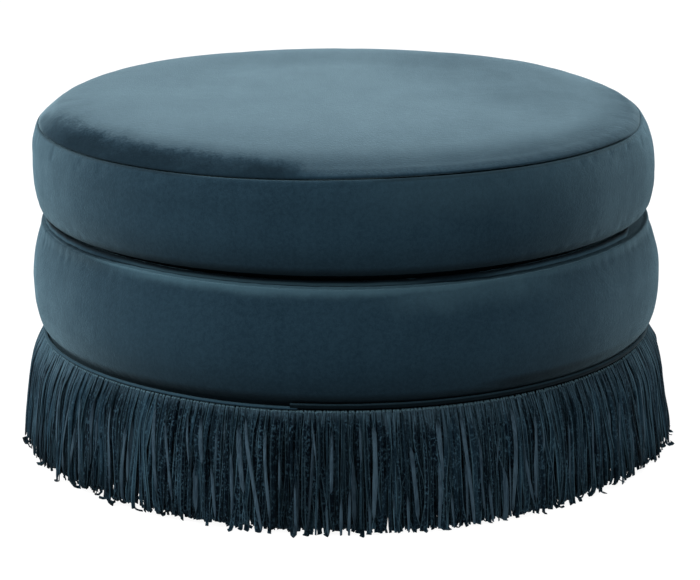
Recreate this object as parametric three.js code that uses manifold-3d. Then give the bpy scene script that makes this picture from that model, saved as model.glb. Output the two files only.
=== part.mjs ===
// Round upholstered tuffet: two padded velvet tiers on a plywood drum, with a
// skirt of cut velvet fringe that hangs almost to the floor.
//
// Units are millimetres, +Z is up, the front faces -Y, and the origin is on the
// floor in the middle of the drum.
//
// From the floor up: six screw-on glides, a dust cover, a bottom ring with two
// half-lapped rails, a bent plinth wall, a middle ring that carries the lower
// tier's padding, a narrower bent wall, a top ring with woven webbing, the seat
// block, a domed wadding layer, and the sewn cover panels. Welts close the two
// grooves, and the fringe hangs from the edge of the middle ring.
import * as THREE from "three";
import { mergeVertices } from "three/addons/utils/BufferGeometryUtils.js";
import Module from "manifold-3d";

const wasm = await Module();
wasm.setup();

// ---------------------------------------------------------------- dimensions
const SIDES = 32; // flats round every large ring, the same on all so they nest
const GAP = 0.3; // clearance between faces that touch

const PLY = 18; // ring and rail plywood
const PANEL = 4; // bent plywood walls
const COVER = 1.4; // velvet with its backing

const GLIDE_H = 6.6; // foot glides under the bottom ring
const GLIDE_R = 20;
const GLIDE_PITCH_R = 290; // radius of the circle the glides stand on

const DUST_Z = 6.9; // underside of the dust cover
const DUST_T = 0.7;
const DUST_R = 328;

const BOTTOM_Z = 9.4; // underside of the bottom ring
const BOTTOM_R = 353.7;
const RING_BORE_R = 255; // opening of the bottom and top rings

const MIDDLE_Z = 122; // underside of the middle ring, which is the ledge of the lower tier
const MIDDLE_R = 358;
const MIDDLE_BORE_R = 262;

const TOP_Z = 258; // underside of the top ring
const DECK_R = 336;
const DECK_TOP = TOP_Z + PLY;

const POST_PITCH_R = 308;
const POST_RADIAL = 40;
const POST_TANGENTIAL = 45;

const STRAP_W = 60; // webbing
const STRAP_T = 1.4;
const STRAP_AT = [-180, -60, 60, 180];

const SEAM_R = 362.8; // seam between the top panel and the upper band
const SEAM_Z = 390.3;
const CROWN_Z = 410; // highest point of the seat
const FRINGE_R = 394.5; // widest point of the object, at the fringe ends
const FRINGE_Z = 3; // fringe ends stay just off the floor
const WELT_R = 3.2; // radius of both piping cords

// Outer surface of the top panel, from the middle of the seat to its seam.
const CROWN = [
  [0, CROWN_Z],
  [150, CROWN_Z],
  [300, 408],
  [341, 403.2],
  [355, 396.8],
  [SEAM_R, SEAM_Z],
];
// Outer surface of the upper band, from the seam to the mid groove and down the deck wall.
const UPPER_BAND = [
  [SEAM_R + 0.6, SEAM_Z - 1.7],
  [369.4, 366],
  [371, 337],
  [369.2, 311],
  [363.5, 289],
  [356, 281.9],
  [342.0, 280.4],
  [342.0, 262.5],
];
// Outer surface of the lower band, from the mid groove to the middle ring's edge.
const LOWER_BAND = [
  [344.6, 262.5],
  [344.6, 273.2],
  [356, 272.9],
  [364.5, 265.5],
  [374.6, 235],
  [377, 205],
  [373.2, 169],
  [362.2, 143.2],
  [359.8, 139],
  [359.8, 127],
];
// Outer surface of the padded plinth behind the fringe, from its top edge to its turned-under hem.
const PLINTH = [
  [361.3, 119.5],
  [368.3, 106],
  [371, 78],
  [370, 36],
  [364, 7.9],
];

// ------------------------------------------------------------------- helpers
// A closed three.js geometry as a solid.
function solidOf(geometry) {
  const g = geometry.index ? geometry.toNonIndexed() : geometry.clone();
  for (const name of Object.keys(g.attributes))
    if (name !== "position") g.deleteAttribute(name);
  const merged = mergeVertices(g, 1e-3);
  return new wasm.Manifold(
    new wasm.Mesh({
      numProp: 3,
      vertProperties: merged.attributes.position.array,
      triVerts: new Uint32Array(merged.index.array),
    }),
  );
}

function geometryOf(solid) {
  const m = solid.getMesh();
  const v = new Float32Array(m.numVert * 3);
  for (let i = 0; i < m.numVert; i++)
    v.set(m.vertProperties.subarray(i * m.numProp, i * m.numProp + 3), i * 3);
  const g = new THREE.BufferGeometry();
  g.setAttribute("position", new THREE.BufferAttribute(v, 3));
  g.setIndex(new THREE.BufferAttribute(new Uint32Array(m.triVerts), 1));
  g.computeVertexNormals();
  return g;
}

// Area of a closed profile, positive when it runs anticlockwise in (radius, height).
function turn(points) {
  let a = 0;
  points.forEach(([r, z], i) => {
    const [r2, z2] = points[(i + 1) % points.length];
    a += r * z2 - r2 * z;
  });
  return a / 2;
}

// A profile of [radius, height] points turned about Z. A profile that starts
// and ends on the axis makes a disc, any other closes on itself as a ring.
function turned(points, sides = SIDES) {
  const solid = points[0][0] === 0 && points[points.length - 1][0] === 0;
  let path = turn(points) < 0 ? [...points].reverse() : points;
  if (!solid) path = [...path, path[0]];
  const g = new THREE.LatheGeometry(
    path.map(([r, z]) => new THREE.Vector2(r, z)),
    sides,
  );
  g.rotateX(Math.PI / 2);
  return g;
}

function ring(inner, outer, low, high) {
  return turned([
    [inner, low],
    [outer, low],
    [outer, high],
    [inner, high],
  ]);
}

// The same profile moved in by a distance along its own normals, to its right
// as it runs, so a cover gets an even thickness.
function inset(points, distance) {
  return points.map(([r, z], i) => {
    const a = points[Math.max(i - 1, 0)];
    const b = points[Math.min(i + 1, points.length - 1)];
    const n1 = normal(a, [r, z]);
    const n2 = normal([r, z], b);
    const n = i === 0 ? n2 : i === points.length - 1 ? n1 : [n1[0] + n2[0], n1[1] + n2[1]];
    const l = Math.hypot(n[0], n[1]);
    const unit = [n[0] / l, n[1] / l];
    const ref = i === 0 ? n2 : n1;
    const k = distance / Math.max(unit[0] * ref[0] + unit[1] * ref[1], 0.5);
    return [Math.max(r + unit[0] * k, 0), z + unit[1] * k];
  });
}
function normal([r1, z1], [r2, z2]) {
  const l = Math.hypot(r2 - r1, z2 - z1);
  return [(z2 - z1) / l, -(r2 - r1) / l];
}

const colours = {
  velvet: { color: 0x2b4452, roughness: 0.85, metalness: 0 },
  fringe: { color: 0x22323e, roughness: 0.9, metalness: 0 },
  lining: { color: 0x14191e, roughness: 0.95, metalness: 0 },
  wadding: { color: 0xe9e6dd, roughness: 0.95, metalness: 0 },
  foam: { color: 0xd9d2a6, roughness: 0.9, metalness: 0 },
  webbing: { color: 0x1d1c1a, roughness: 0.85, metalness: 0 },
  cloth: { color: 0x24262a, roughness: 0.95, metalness: 0 },
  plywood: { color: 0xc9a676, roughness: 0.7, metalness: 0 },
  pine: { color: 0xd8bb86, roughness: 0.75, metalness: 0 },
  card: { color: 0x9b8362, roughness: 0.9, metalness: 0 },
  glide: { color: 0x1b1b1c, roughness: 0.45, metalness: 0 },
  steel: { color: 0x9a9b9d, roughness: 0.35, metalness: 1 },
};

const tuffet = new THREE.Group();
function add(name, geometry, finish, parent = tuffet) {
  const mesh = new THREE.Mesh(
    geometry,
    new THREE.MeshStandardMaterial({ name: finish, ...colours[finish] }),
  );
  mesh.name = name;
  parent.add(mesh);
  return mesh;
}

// -------------------------------------------------------------------- screws
// Countersunk wood screw, head face at the origin, shank along -Z. The same
// outline grown by the clearance is the hole that it sits in.
function screwProfile(length, grow = 0) {
  const head = 4.2 + grow;
  const shank = 2.0 + grow;
  return [
    [0, grow ? 12 : 0],
    ...(grow ? [[head, 12]] : []),
    [head, -grow * 0.5],
    [shank, -2.6 - grow],
    [shank, -length + 4 - grow],
    [0, -length - grow],
  ];
}
const screwSides = 8;
const FRAME_SCREW = 38;
const GLIDE_SCREW = 21;
const frameScrew = turned(screwProfile(FRAME_SCREW), screwSides);
const frameHole = turned(screwProfile(FRAME_SCREW, 0.35), screwSides);
const glideScrew = turned(screwProfile(GLIDE_SCREW), screwSides);
const glideHole = turned(screwProfile(GLIDE_SCREW, 0.35), screwSides);

// Where each set of six stands: [x, y, angle].
function around(radius, startDegrees) {
  return [0, 1, 2, 3, 4, 5].map((i) => {
    const a = THREE.MathUtils.degToRad(startDegrees + 60 * i);
    return [radius * Math.cos(a), radius * Math.sin(a), a];
  });
}
const posts = around(POST_PITCH_R, 30);
const glides = around(GLIDE_PITCH_R, 0);

function placed(geometry, x, y, z, turnX = 0) {
  const g = geometry.clone();
  if (turnX) g.rotateX(turnX);
  return g.translate(x, y, z);
}
const TOP_SCREW_Z = DECK_TOP - 0.2;
const BOTTOM_SCREW_Z = BOTTOM_Z + 0.2;
const GLIDE_SCREW_Z = 1.4;
const topHoles = posts.map(([x, y]) => solidOf(placed(frameHole, x, y, TOP_SCREW_Z)));
const bottomHoles = posts.map(([x, y]) =>
  solidOf(placed(frameHole, x, y, BOTTOM_SCREW_Z, Math.PI)),
);
const glideHoles = glides.map(([x, y]) =>
  solidOf(placed(glideHole, x, y, GLIDE_SCREW_Z, Math.PI)),
);
const without = (solid, cutters) => cutters.reduce((s, c) => s.subtract(c), solid);

// --------------------------------------------------------------------- frame
// Bottom ring, drilled for the post screws and the glide screws.
add(
  "bottom_ring",
  geometryOf(
    without(solidOf(ring(RING_BORE_R, BOTTOM_R, BOTTOM_Z, BOTTOM_Z + PLY)), [
      ...bottomHoles,
      ...glideHoles,
    ]),
  ),
  "plywood",
);

// Middle ring: the ledge under the lower tier. Notches from its bore let the posts pass.
const POST_FOOT = BOTTOM_Z + PLY + GAP;
const POST_HEAD = TOP_Z - GAP;
const notches = posts.map(([, , a]) => {
  const deep = 90;
  const g = new THREE.BoxGeometry(deep, POST_TANGENTIAL + 2 * GAP, 60);
  g.translate(POST_PITCH_R + POST_RADIAL / 2 + GAP - deep / 2, 0, MIDDLE_Z + PLY / 2);
  g.rotateZ(a);
  return solidOf(g);
});
add(
  "middle_ring",
  geometryOf(
    without(solidOf(ring(MIDDLE_BORE_R, MIDDLE_R, MIDDLE_Z, MIDDLE_Z + PLY)), notches),
  ),
  "plywood",
);

// Top ring: the seat deck's rim, screwed down into the posts.
add(
  "top_ring",
  geometryOf(without(solidOf(ring(RING_BORE_R, DECK_R, TOP_Z, DECK_TOP)), topHoles)),
  "plywood",
);

// Six pine posts stand on the bottom ring and carry the top ring.
posts.forEach(([, , a], i) => {
  const g = new THREE.BoxGeometry(POST_RADIAL, POST_TANGENTIAL, POST_HEAD - POST_FOOT);
  g.translate(POST_PITCH_R, 0, (POST_HEAD + POST_FOOT) / 2);
  g.rotateZ(a);
  add(
    "post_" + (i + 1),
    geometryOf(without(solidOf(g), [topHoles[i], bottomHoles[i]])),
    "pine",
  );
});

// Two rails cross the bottom ring, halved over each other in the middle.
const RAIL_W = 60;
const RAIL_Z = BOTTOM_Z + PLY + GAP;
const LONG_RAIL = 660;
const CROSS_RAIL = 2 * (POST_PITCH_R - POST_RADIAL / 2 - GAP - 0.5);
const rail = (length) => new THREE.BoxGeometry(length, RAIL_W, PLY).translate(0, 0, RAIL_Z + PLY / 2);
const lap = (low, high) =>
  new THREE.BoxGeometry(RAIL_W + 2 * GAP, 2 * RAIL_W, high - low).translate(0, 0, (low + high) / 2);
add(
  "base_rail_long",
  geometryOf(solidOf(rail(LONG_RAIL)).subtract(solidOf(lap(RAIL_Z + PLY / 2 - GAP / 2, RAIL_Z + PLY + 5)))),
  "plywood",
);
add(
  "base_rail_cross",
  geometryOf(
    solidOf(rail(CROSS_RAIL).rotateZ(Math.PI / 2)).subtract(
      solidOf(lap(RAIL_Z - 5, RAIL_Z + PLY / 2 + GAP / 2).rotateZ(Math.PI / 2)),
    ),
  ),
  "plywood",
);

// Bent plywood walls. Each is one strip whose ends meet at a butt joint at the back.
function wall(name, inner, low, high) {
  const slit = new THREE.BoxGeometry(1.2, 60, high - low + 20).translate(
    0,
    inner,
    (low + high) / 2,
  );
  add(
    name,
    geometryOf(solidOf(ring(inner, inner + PANEL, low, high)).subtract(solidOf(slit))),
    "plywood",
  );
}
wall("plinth_wall_panel", BOTTOM_R + GAP, BOTTOM_Z, MIDDLE_Z - GAP);
wall("upper_wall_panel", DECK_R + GAP, MIDDLE_Z + PLY + GAP, DECK_TOP);

posts.forEach(([x, y], i) => {
  add("top_screw_" + (i + 1), frameScrew.clone(), "steel").position.set(x, y, TOP_SCREW_Z);
  const low = add("bottom_screw_" + (i + 1), frameScrew.clone(), "steel");
  low.position.set(x, y, BOTTOM_SCREW_Z);
  low.rotation.x = Math.PI;
});

// -------------------------------------------------------------- feet and base
// A round glide with a rounded lower edge and a countersunk screw in the middle.
const glideProfile = [
  [0, 0],
  [GLIDE_R - 2.2, 0],
  [GLIDE_R, 2],
  [GLIDE_R, GLIDE_H],
  [0, GLIDE_H],
];
glides.forEach(([x, y], i) => {
  const body = solidOf(turned(glideProfile, 16).translate(x, y, 0));
  add("glide_" + (i + 1), geometryOf(body.subtract(glideHoles[i])), "glide");
  const screw = add("glide_screw_" + (i + 1), glideScrew.clone(), "steel");
  screw.position.set(x, y, GLIDE_SCREW_Z);
  screw.rotation.x = Math.PI;
});

add(
  "dust_cover",
  geometryOf(
    without(
      solidOf(
        turned([
          [0, DUST_Z],
          [DUST_R, DUST_Z],
          [DUST_R, DUST_Z + DUST_T],
          [0, DUST_Z + DUST_T],
        ]),
      ),
      glideHoles,
    ),
  ),
  "cloth",
);

// ------------------------------------------------------------------- webbing
// Eight straps woven over and under each other and tacked to the top ring. Each
// is a ribbon outline in its own long section, extruded across its width.
const LOW = DECK_TOP + GAP + STRAP_T / 2;
const HIGH = LOW + STRAP_T + GAP;
function strap(offset, over) {
  const end = Math.sqrt(326 ** 2 - (Math.abs(offset) + STRAP_W / 2) ** 2);
  const flat = STRAP_W / 2 + 1.5;
  const line = [[-end, LOW]];
  const settle = Math.min(end - 6, 246);
  line.push([-settle, LOW]);
  STRAP_AT.forEach((x, i) => {
    const z = over(i) ? HIGH : LOW;
    line.push([x - flat, z], [x + flat, z]);
  });
  line.push([settle, LOW], [end, LOW]);
  const shape = new THREE.Shape();
  line.forEach(([x, z], i) =>
    i ? shape.lineTo(x, z - STRAP_T / 2) : shape.moveTo(x, z - STRAP_T / 2),
  );
  [...line].reverse().forEach(([x, z]) => shape.lineTo(x, z + STRAP_T / 2));
  const g = new THREE.ExtrudeGeometry(shape, { depth: STRAP_W, bevelEnabled: false });
  g.rotateX(Math.PI / 2);
  return g.translate(0, offset + STRAP_W / 2, 0);
}
STRAP_AT.forEach((offset, i) => {
  add("webbing_x" + (i + 1), strap(offset, (j) => (i + j) % 2 === 1), "webbing");
});
STRAP_AT.forEach((offset, j) => {
  // Turned a quarter turn, its own run is along Y and the crossings count from +Y.
  const g = strap(-offset, (i) => (i + j) % 2 === 0);
  add("webbing_y" + (j + 1), g.rotateZ(Math.PI / 2), "webbing");
});

const CLOTH_Z = HIGH + STRAP_T / 2 + GAP;
add(
  "platform_cloth",
  turned([
    [0, CLOTH_Z],
    [334, CLOTH_Z],
    [334, CLOTH_Z + 0.7],
    [0, CLOTH_Z + 0.7],
  ]),
  "cloth",
);

// ------------------------------------------------------------ seat and covers
// Top panel, a domed velvet disc.
const crownInside = inset(CROWN, COVER);
add("top_cover", turned([...CROWN, ...[...crownInside].reverse()]), "velvet");

// Upper band, turned in under the seat block and down the deck wall.
const upperInside = inset(UPPER_BAND, COVER);
add("upper_band_cover", turned([...UPPER_BAND, ...[...upperInside].reverse()]), "velvet");

// The seat block fills the upper tier, and the wadding domes it.
const clear = COVER + GAP + 0.1;
const upperPad = inset(UPPER_BAND, clear);
const crownPad = inset(CROWN, clear);
const FOAM_TOP = 386;
const FOAM_LOW = CLOTH_Z + 0.7 + GAP;
add(
  "seat_foam",
  turned([
    [0, FOAM_LOW],
    [336, FOAM_LOW],
    upperPad[6],
    ...[upperPad[5], upperPad[4], upperPad[3], upperPad[2], upperPad[1]],
    [upperPad[1][0] - 4.4, FOAM_TOP - 4],
    [352, FOAM_TOP],
    [0, FOAM_TOP],
  ]),
  "foam",
);
add(
  "crown_wadding",
  turned([
    [0, FOAM_TOP + GAP],
    [352.4, FOAM_TOP + GAP],
    [359.4, FOAM_TOP + GAP + 0.4],
    ...[crownPad[4], crownPad[3], crownPad[2], crownPad[1]],
    [0, crownPad[0][1]],
  ]),
  "wadding",
);

// ---------------------------------------------------------------- lower tier
const lowerInside = inset(LOWER_BAND, COVER);
add("lower_band_cover", turned([...LOWER_BAND, ...[...lowerInside].reverse()]), "velvet");
// The card strip that the lower band is tacked back over.
add("tack_strip", ring(342.3, 344.2, 262.5, 271.5), "card");
const lowerPad = inset(LOWER_BAND, clear);
add(
  "lower_band_foam",
  turned([
    [DECK_R + GAP + PANEL + GAP, MIDDLE_Z + PLY + GAP],
    [357.6, MIDDLE_Z + PLY + GAP],
    ...[lowerPad[7], lowerPad[6], lowerPad[5], lowerPad[4], lowerPad[3], lowerPad[2]],
    [346.6, 271.0],
    [346.6, 261.9],
    [DECK_R + GAP + PANEL + GAP, 261.9],
  ]),
  "foam",
);

// --------------------------------------------------------------------- welts
// Piping cord covered in velvet, sewn into each groove.
function welt(name, radius, z) {
  const section = [];
  for (let i = 0; i < 8; i++) {
    const a = (i / 8) * 2 * Math.PI + Math.PI / 8;
    section.push([radius + WELT_R * Math.cos(a), z + WELT_R * Math.sin(a)]);
  }
  add(name, turned(section), "velvet");
}
welt("mid_welt", 355.6, 277.2);
welt("base_welt", 364.0, 136.6);

// -------------------------------------------------------------------- plinth
const plinthPad = inset(PLINTH, 1.2 + GAP + 0.1);
add(
  "plinth_wadding",
  turned([
    [MIDDLE_R + GAP, 11],
    ...[...plinthPad].reverse().slice(1),
    [MIDDLE_R + GAP, plinthPad[0][1] - 0.4],
  ]),
  "wadding",
);
// Velvet over the plinth, tacked to the middle ring at the top and turned under
// the bottom ring at its hem.
const plinthOuter = [[359.9, 125.6], [359.9, 121.2], ...PLINTH, [320, 7.9]];
const plinthInside = inset(plinthOuter, 1.1);
add("plinth_cover", turned([...plinthOuter, ...[...plinthInside].reverse()]), "lining");

// -------------------------------------------------------------------- fringe
// The uncut velvet strip that the fringe is tacked up by.
add("fringe_header", ring(360.3, 362.4, 121.8, 132.6), "fringe");
// The hanging curtain of cut strips, as one even band of their thickness.
add(
  "fringe",
  turned([
    [362.8, 131.8],
    [364.6, 132.9],
    [371, 129],
    [380, 112],
    [386, 85],
    [390, 50],
    [FRINGE_R, FRINGE_Z],
    [FRINGE_R - 7, FRINGE_Z],
    [383.2, 50],
    [379.4, 84],
    [373.4, 106],
    [366, 120],
    [362.8, 124],
  ]),
  "fringe",
);

export default tuffet;
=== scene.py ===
"""Looks of the round velvet tuffet: covers, welts, fringe, padding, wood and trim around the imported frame.

Lengths are in metres in the row frame: +Z up, -Y the front, origin on the floor.
"""
import math

import bpy
import numpy as np
from mathutils import Matrix, Vector


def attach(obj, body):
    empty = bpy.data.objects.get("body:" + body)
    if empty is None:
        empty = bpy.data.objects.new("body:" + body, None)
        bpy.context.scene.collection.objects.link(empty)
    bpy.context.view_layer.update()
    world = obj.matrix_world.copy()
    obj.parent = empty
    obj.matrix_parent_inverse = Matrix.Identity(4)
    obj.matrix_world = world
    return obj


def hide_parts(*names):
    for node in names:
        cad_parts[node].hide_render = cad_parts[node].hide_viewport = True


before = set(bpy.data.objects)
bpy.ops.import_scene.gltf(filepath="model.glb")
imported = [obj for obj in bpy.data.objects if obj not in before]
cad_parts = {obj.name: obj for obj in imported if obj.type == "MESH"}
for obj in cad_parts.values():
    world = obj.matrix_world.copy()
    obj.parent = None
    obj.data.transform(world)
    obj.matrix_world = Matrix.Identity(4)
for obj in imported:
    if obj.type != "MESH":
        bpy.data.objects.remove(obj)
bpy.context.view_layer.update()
scene = bpy.context.scene
TAU = 2 * math.pi
MM = 0.001


# --------------------------------------------------------------------- camera
def make_camera():
    cam = bpy.data.cameras.new("camera")
    ob = bpy.data.objects.new("camera", cam)
    scene.collection.objects.link(ob)
    pitch, yaw, roll = math.radians(15.425), math.radians(0.109), math.radians(-0.446)
    fwd = Vector((math.sin(yaw) * math.cos(pitch), math.cos(yaw) * math.cos(pitch), -math.sin(pitch)))
    right = fwd.cross(Vector((0, 0, 1))).normalized()
    up = right.cross(fwd)
    r2 = right * math.cos(roll) + up * math.sin(roll)
    u2 = -right * math.sin(roll) + up * math.cos(roll)
    m = Matrix((r2, u2, -fwd)).transposed().to_4x4()
    m.translation = Vector((0.0, -2.96546, 0.98718))
    ob.matrix_world = m
    cam.sensor_fit = "HORIZONTAL"
    cam.sensor_width = 36.0
    cam.lens = 130.07
    cam.clip_start, cam.clip_end = 0.05, 200
    scene.camera = ob
    return ob


make_camera()


# ------------------------------------------------------------------ mesh tools
def link(name, mesh):
    ob = bpy.data.objects.new(name, mesh)
    scene.collection.objects.link(ob)
    return ob


def mesh_from(name, verts, quads=None, tris=None, smooth=True):
    """A mesh from arrays of corners and of four- and three-sided faces, turned so that it faces out."""
    verts = np.asarray(verts, np.float32).reshape(-1, 3)
    quads = np.zeros((0, 4), np.int32) if quads is None else np.asarray(quads, np.int32)
    tris = np.zeros((0, 3), np.int32) if tris is None else np.asarray(tris, np.int32)
    vol = 0.0
    v = verts.astype(np.float64)
    if len(quads):
        a, b, c, d = (v[quads[:, i]] for i in range(4))
        vol += (np.einsum("ij,ij->i", a, np.cross(b, c)) + np.einsum("ij,ij->i", a, np.cross(c, d))).sum()
    if len(tris):
        a, b, c = (v[tris[:, i]] for i in range(3))
        vol += np.einsum("ij,ij->i", a, np.cross(b, c)).sum()
    if vol < 0:
        quads, tris = quads[:, ::-1], tris[:, ::-1]
    me = bpy.data.meshes.new(name)
    me.vertices.add(len(verts))
    me.vertices.foreach_set("co", verts.ravel())
    loops = np.concatenate([quads.ravel(), tris.ravel()]).astype(np.int32)
    me.loops.add(len(loops))
    me.loops.foreach_set("vertex_index", loops)
    starts = np.concatenate([np.arange(len(quads)) * 4, len(quads) * 4 + np.arange(len(tris)) * 3]).astype(np.int32)
    me.polygons.add(len(starts))
    me.polygons.foreach_set("loop_start", starts)
    me.update(calc_edges=True)
    me.validate()
    me.polygons.foreach_set("use_smooth", np.full(len(me.polygons), smooth, bool))
    return me


def grid(name, P, pole_start=False, pole_end=False, close_rows=False, smooth=True):
    """A closed surface from rows of points that go round: P is (rows, columns, 3), closed along the columns.
    A pole is a row whose points all meet on the axis. With close_rows the last row joins the first."""
    n, m, _ = P.shape
    P = np.asarray(P, np.float64)
    rows = np.arange(n * m).reshape(n, m)
    verts = P.reshape(-1, 3)
    quads, tris = [], []
    lo, hi = (1 if pole_start else 0), (n - 2 if pole_end else n - 1)
    idx = np.arange(lo, hi)
    a = rows[idx][:, :]
    b = rows[idx + 1][:, :]
    quads.append(np.stack([a, b, np.roll(b, -1, 1), np.roll(a, -1, 1)], -1).reshape(-1, 4))
    if close_rows:
        a, b = rows[-1], rows[0]
        quads.append(np.stack([a, b, np.roll(b, -1), np.roll(a, -1)], -1))
    if pole_start:
        c, r = rows[0, 0], rows[1]
        tris.append(np.stack([np.full(m, c), r, np.roll(r, -1)], -1))
    if pole_end:
        c, r = rows[-1, 0], rows[-2]
        tris.append(np.stack([np.full(m, c), np.roll(r, -1), r], -1))
    me = mesh_from(name, verts, np.concatenate(quads), np.concatenate(tris) if tris else None, smooth)
    if pole_start or pole_end:  # drops the unused copies of the pole points
        import bmesh
        bm = bmesh.new()
        bm.from_mesh(me)
        bmesh.ops.delete(bm, geom=[x for x in bm.verts if not x.link_faces], context="VERTS")
        bm.to_mesh(me)
        bm.free()
    return me


def spline(points, n, closed=False, power=0.5):
    """n points, even along a smooth curve through the given 2-D points (centripetal Catmull-Rom)."""
    p = np.asarray(points, float)
    if closed:
        p = np.vstack([p[-1], p, p[0], p[1]])
    else:
        p = np.vstack([2 * p[0] - p[1], p, 2 * p[-1] - p[-2]])
    out = []
    for i in range(1, len(p) - 2):
        q = p[i - 1:i + 3]
        t = np.concatenate([[0], np.cumsum(np.maximum(np.linalg.norm(np.diff(q, axis=0), axis=1), 1e-9) ** power)])
        u = np.linspace(t[1], t[2], 40, endpoint=False)[:, None]
        a1 = (t[1] - u) / (t[1] - t[0]) * q[0] + (u - t[0]) / (t[1] - t[0]) * q[1]
        a2 = (t[2] - u) / (t[2] - t[1]) * q[1] + (u - t[1]) / (t[2] - t[1]) * q[2]
        a3 = (t[3] - u) / (t[3] - t[2]) * q[2] + (u - t[2]) / (t[3] - t[2]) * q[3]
        b1 = (t[2] - u) / (t[2] - t[0]) * a1 + (u - t[0]) / (t[2] - t[0]) * a2
        b2 = (t[3] - u) / (t[3] - t[1]) * a2 + (u - t[1]) / (t[3] - t[1]) * a3
        out.append((t[2] - u) / (t[2] - t[1]) * b1 + (u - t[1]) / (t[2] - t[1]) * b2)
    out = np.vstack(out + [p[-2][None]])
    return even(out, n)


def even(curve, n):
    s = np.concatenate([[0], np.cumsum(np.linalg.norm(np.diff(curve, axis=0), axis=1))])
    u = np.linspace(0, s[-1], n)
    return np.stack([np.interp(u, s, curve[:, k]) for k in range(curve.shape[1])], 1)


def normals2(curve):
    """Unit normals of an open 2-D curve, to the left as it runs."""
    d = np.gradient(curve, axis=0)
    n = np.stack([-d[:, 1], d[:, 0]], 1)
    return n / np.maximum(np.linalg.norm(n, axis=1, keepdims=True), 1e-12)


def waves(rng, angle, lowest, highest, count):
    """A seeded smooth random function round the object, about -1 to 1, from whole numbers of waves."""
    f = rng.integers(lowest, highest + 1, count)
    ph = rng.uniform(0, TAU, count)
    am = rng.uniform(0.4, 1.0, count)
    out = np.zeros_like(angle)
    for k in range(count):
        out += am[k] * np.sin(f[k] * angle + ph[k])
    return out / np.sqrt((am ** 2).sum() * 0.5) * 0.5


def bump(x, lo, hi, soft):
    """1 between lo and hi, falling smoothly to 0 over soft on each side."""
    def step(t):
        t = np.clip(t, 0, 1)
        return t * t * (3 - 2 * t)
    return step((x - (lo - soft)) / soft) * step(((hi + soft) - x) / soft)


def smoothstep(x, lo, hi):
    t = np.clip((x - lo) / (hi - lo), 0, 1)
    return t * t * (3 - 2 * t)


# Angle round the object: 0 at the front (-Y), positive towards the viewer's right (+X).
def around(radius, z, phi):
    return np.stack([radius * np.sin(phi), -radius * np.cos(phi), z + 0 * phi], -1)


def wrap(a):
    return (a + math.pi) % TAU - math.pi


def lathe(name, curve, seg, close=True, pole_start=False, pole_end=False):
    """A plain turned solid from an outline in millimetres."""
    phi = np.arange(seg) / seg * TAU
    c = np.asarray(curve, float) * MM
    P = around(c[:, 0][:, None], c[:, 1][:, None], phi[None, :])
    return link(name, grid(name, P, pole_start, pole_end, close_rows=close))


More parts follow.
